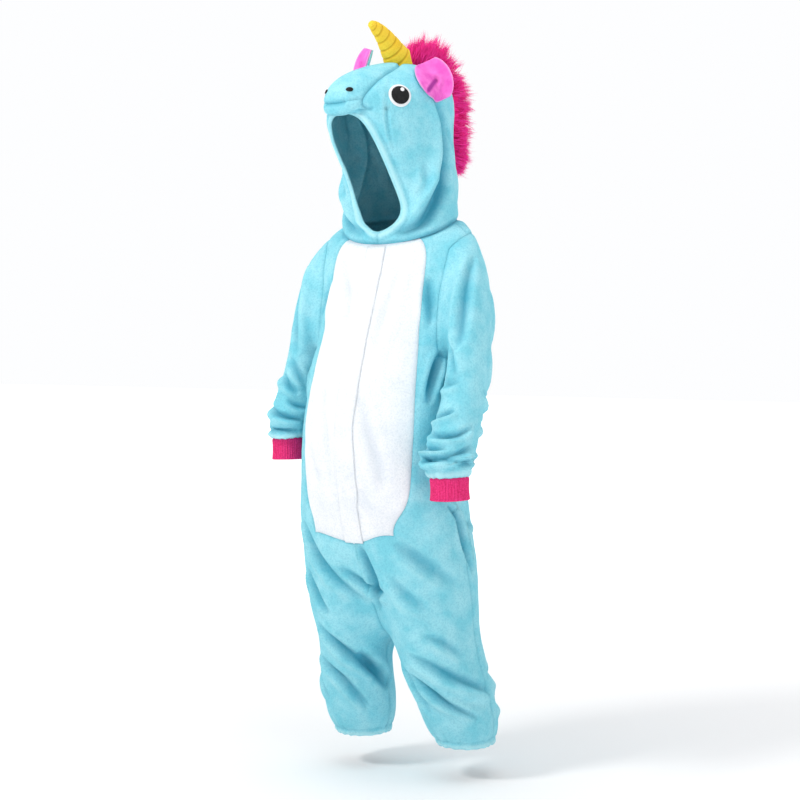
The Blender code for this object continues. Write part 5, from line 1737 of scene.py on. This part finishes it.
def make_looks():
    return {
        # plush colours: light and middle for the nap, deep for the tufts and the painted shade, and the
        # painted highlight
        "plush_turquoise": plush("plush_turquoise", 0xA2E2EE, 0x82D4E4, 0x1290AE, 0xC2F0F6),
        "plush_white": plush("plush_white", 0xF7F9FC, 0xEFF3F8, 0xB4C2D2, 0xFCFDFE, 0.25),
        "rib_magenta": knit("rib_magenta", 0xFF4894, 0xDA2266),
        "plush_pink": ear_plush("plush_pink", 0xF47CD4, 0xE660C4, 0x962E90, 0xF0AEE4),
        "plush_yellow": plush("plush_yellow", 0xFFDC50, 0xFACC3C, 0xC89420, 0xFFE67A, 0.3, 0.8),
        "fur_magenta": fur("fur_magenta", 0xFF3CAC, 0xF00C84),
        "felt_black": felt("felt_black", 0x1C1C20, 0x0A0A0C),
        "felt_white": felt("felt_white", 0xF8F8FA, 0xE4E6EA),
    }


GLOW_NEAR = 1.0             # the paper fades into white between these distances
GLOW_FAR = 3.6
GLOW_STRENGTHS = (0.06, 0.70)
FLOOR_REACH = 14.0
SKY_COLOUR = (0.985, 0.99, 1.0, 1.0)
SKY_FACING = (-0.2, 0.75)   # the sky brightens from beside the camera to behind the garment
SKY_STRENGTHS = (0.44, 1.0)
Lamp = namedtuple("Lamp", "name place size power colour")
LAMPS = (
    Lamp("key", (-1.3, -2.6, 2.4), 0.9, 64.0, (1.0, 0.985, 0.96)),
    Lamp("top", (0.4, -0.5, 3.2), 2.6, 40.0, (1.0, 1.0, 1.0)),
    Lamp("fill", (2.9, -1.9, 0.4), 1.8, 16.0, (0.95, 0.98, 1.0)),
)
LAMP_AIM = (0.0, 0.0, -0.25)
FLOOR_DROP = 0.055          # the hems hang this far above the floor that the wearer stands on
CAMERA_TURN = 30.0
CAMERA_RISE = 2.5
CAMERA_DISTANCE = 3.25
CAMERA_AIM = (-0.0015, -0.0009, -0.2736)
CAMERA_LENS = 85.0


def area_light(lamp):
    """A round soft light, aimed at the middle of the garment."""
    data = bpy.data.lights.new(lamp.name, "AREA")
    data.shape = "DISK"
    data.size = lamp.size
    data.energy = lamp.power
    data.color = lamp.colour
    light = bpy.data.objects.new(lamp.name, data)
    light.location = lamp.place
    light.rotation_euler = (Vector(LAMP_AIM) - Vector(lamp.place)).to_track_quat("-Z", "Y").to_euler()
    bpy.context.scene.collection.objects.link(light)


def build_stage():
    floor_mesh = bpy.data.meshes.new("floor")
    height = level(-FLOOR_DROP)
    corners = [(x * FLOOR_REACH, y * FLOOR_REACH, height) for x, y in ((-1, -1), (1, -1), (1, 1), (-1, 1))]
    floor_mesh.from_pydata(corners, [], [[0, 1, 2, 3]])
    floor_mesh.materials.append(glow_far_away(backdrop_paper("floor_paper", 0xF4F4F5)))
    floor = bpy.data.objects.new("floor", floor_mesh)
    bpy.context.scene.collection.objects.link(floor)
    world = bpy.data.worlds.new("studio")
    world.use_nodes = True
    sky = world.node_tree.nodes["Background"]
    sky.inputs["Color"].default_value = SKY_COLOUR
    direction = world.node_tree.nodes.new("ShaderNodeTexCoord").outputs["Generated"]
    facing = world.node_tree.nodes.new("ShaderNodeVectorMath")
    facing.operation = "DOT_PRODUCT"
    turn = math.radians(CAMERA_TURN)
    facing.inputs[1].default_value = (-math.sin(turn), math.cos(turn), 0.0)
    world.node_tree.links.new(direction, facing.inputs[0])
    glow = ranged(world.node_tree, facing.outputs["Value"], *SKY_FACING, *SKY_STRENGTHS)
    world.node_tree.links.new(glow, sky.inputs["Strength"])
    bpy.context.scene.world = world
    for lamp in LAMPS:
        area_light(lamp)
    bpy.context.scene.view_settings.view_transform = "Standard"


def build_camera():
    turn = math.radians(CAMERA_TURN)
    rise = math.radians(CAMERA_RISE)
    away = Vector((math.sin(turn) * math.cos(rise), -math.cos(turn) * math.cos(rise), math.sin(rise)))
    data = bpy.data.cameras.new("camera")
    data.lens = CAMERA_LENS
    camera = bpy.data.objects.new("camera", data)
    camera.location = Vector(CAMERA_AIM) + away * CAMERA_DISTANCE
    camera.rotation_euler = (-away).to_track_quat("-Z", "Y").to_euler()
    bpy.context.scene.collection.objects.link(camera)
    bpy.context.scene.camera = camera


def neck_corners(skin, other):
    """Border points of a skin that lie on another skin's border."""
    starts, _ = edges_of(skin.faces)
    other_starts, _ = edges_of(other.faces)
    border = np.unique(starts)
    distance = distance_to(skin.points[border], other.points[np.unique(other_starts)])
    return set(border[distance < SEAM_GAP / 3].tolist())


def share_normals(first, second, corners, other_corners):
    """The same normals on both sides of the neck seam."""
    others = sorted(other_corners)
    tree = kdtree.KDTree(len(others))
    for number, corner in enumerate(others):
        tree.insert(second.points[corner], number)
    tree.balance()
    for corner in corners:
        other = others[tree.find(first.points[corner])[1]]
        common = first.normals[corner] + second.normals[other]
        common /= np.linalg.norm(common)
        first.normals[corner] = common
        second.normals[other] = common


def build():
    body = Skin(body_cage())
    head = Skin(hood_cage())
    neck = neck_corners(body, head)
    head_neck = neck_corners(head, body)
    share_normals(body, head, neck, head_neck)
    for part, folds in FOLDS.items():
        for fold in folds:
            add_fold(head if part == "hood" else body, part, fold)
    add_waves(body)
    add_waves(head)
    opening = add_seams(body, neck)
    head_opening = add_seams(head, head_neck)
    add_gathers(body, opening)
    body.settle()
    head.settle()
    looks = make_looks()
    build_cloth(body, head, opening, head_opening, looks)
    build_details(body, head, looks)
    build_stage()
    build_camera()


build()
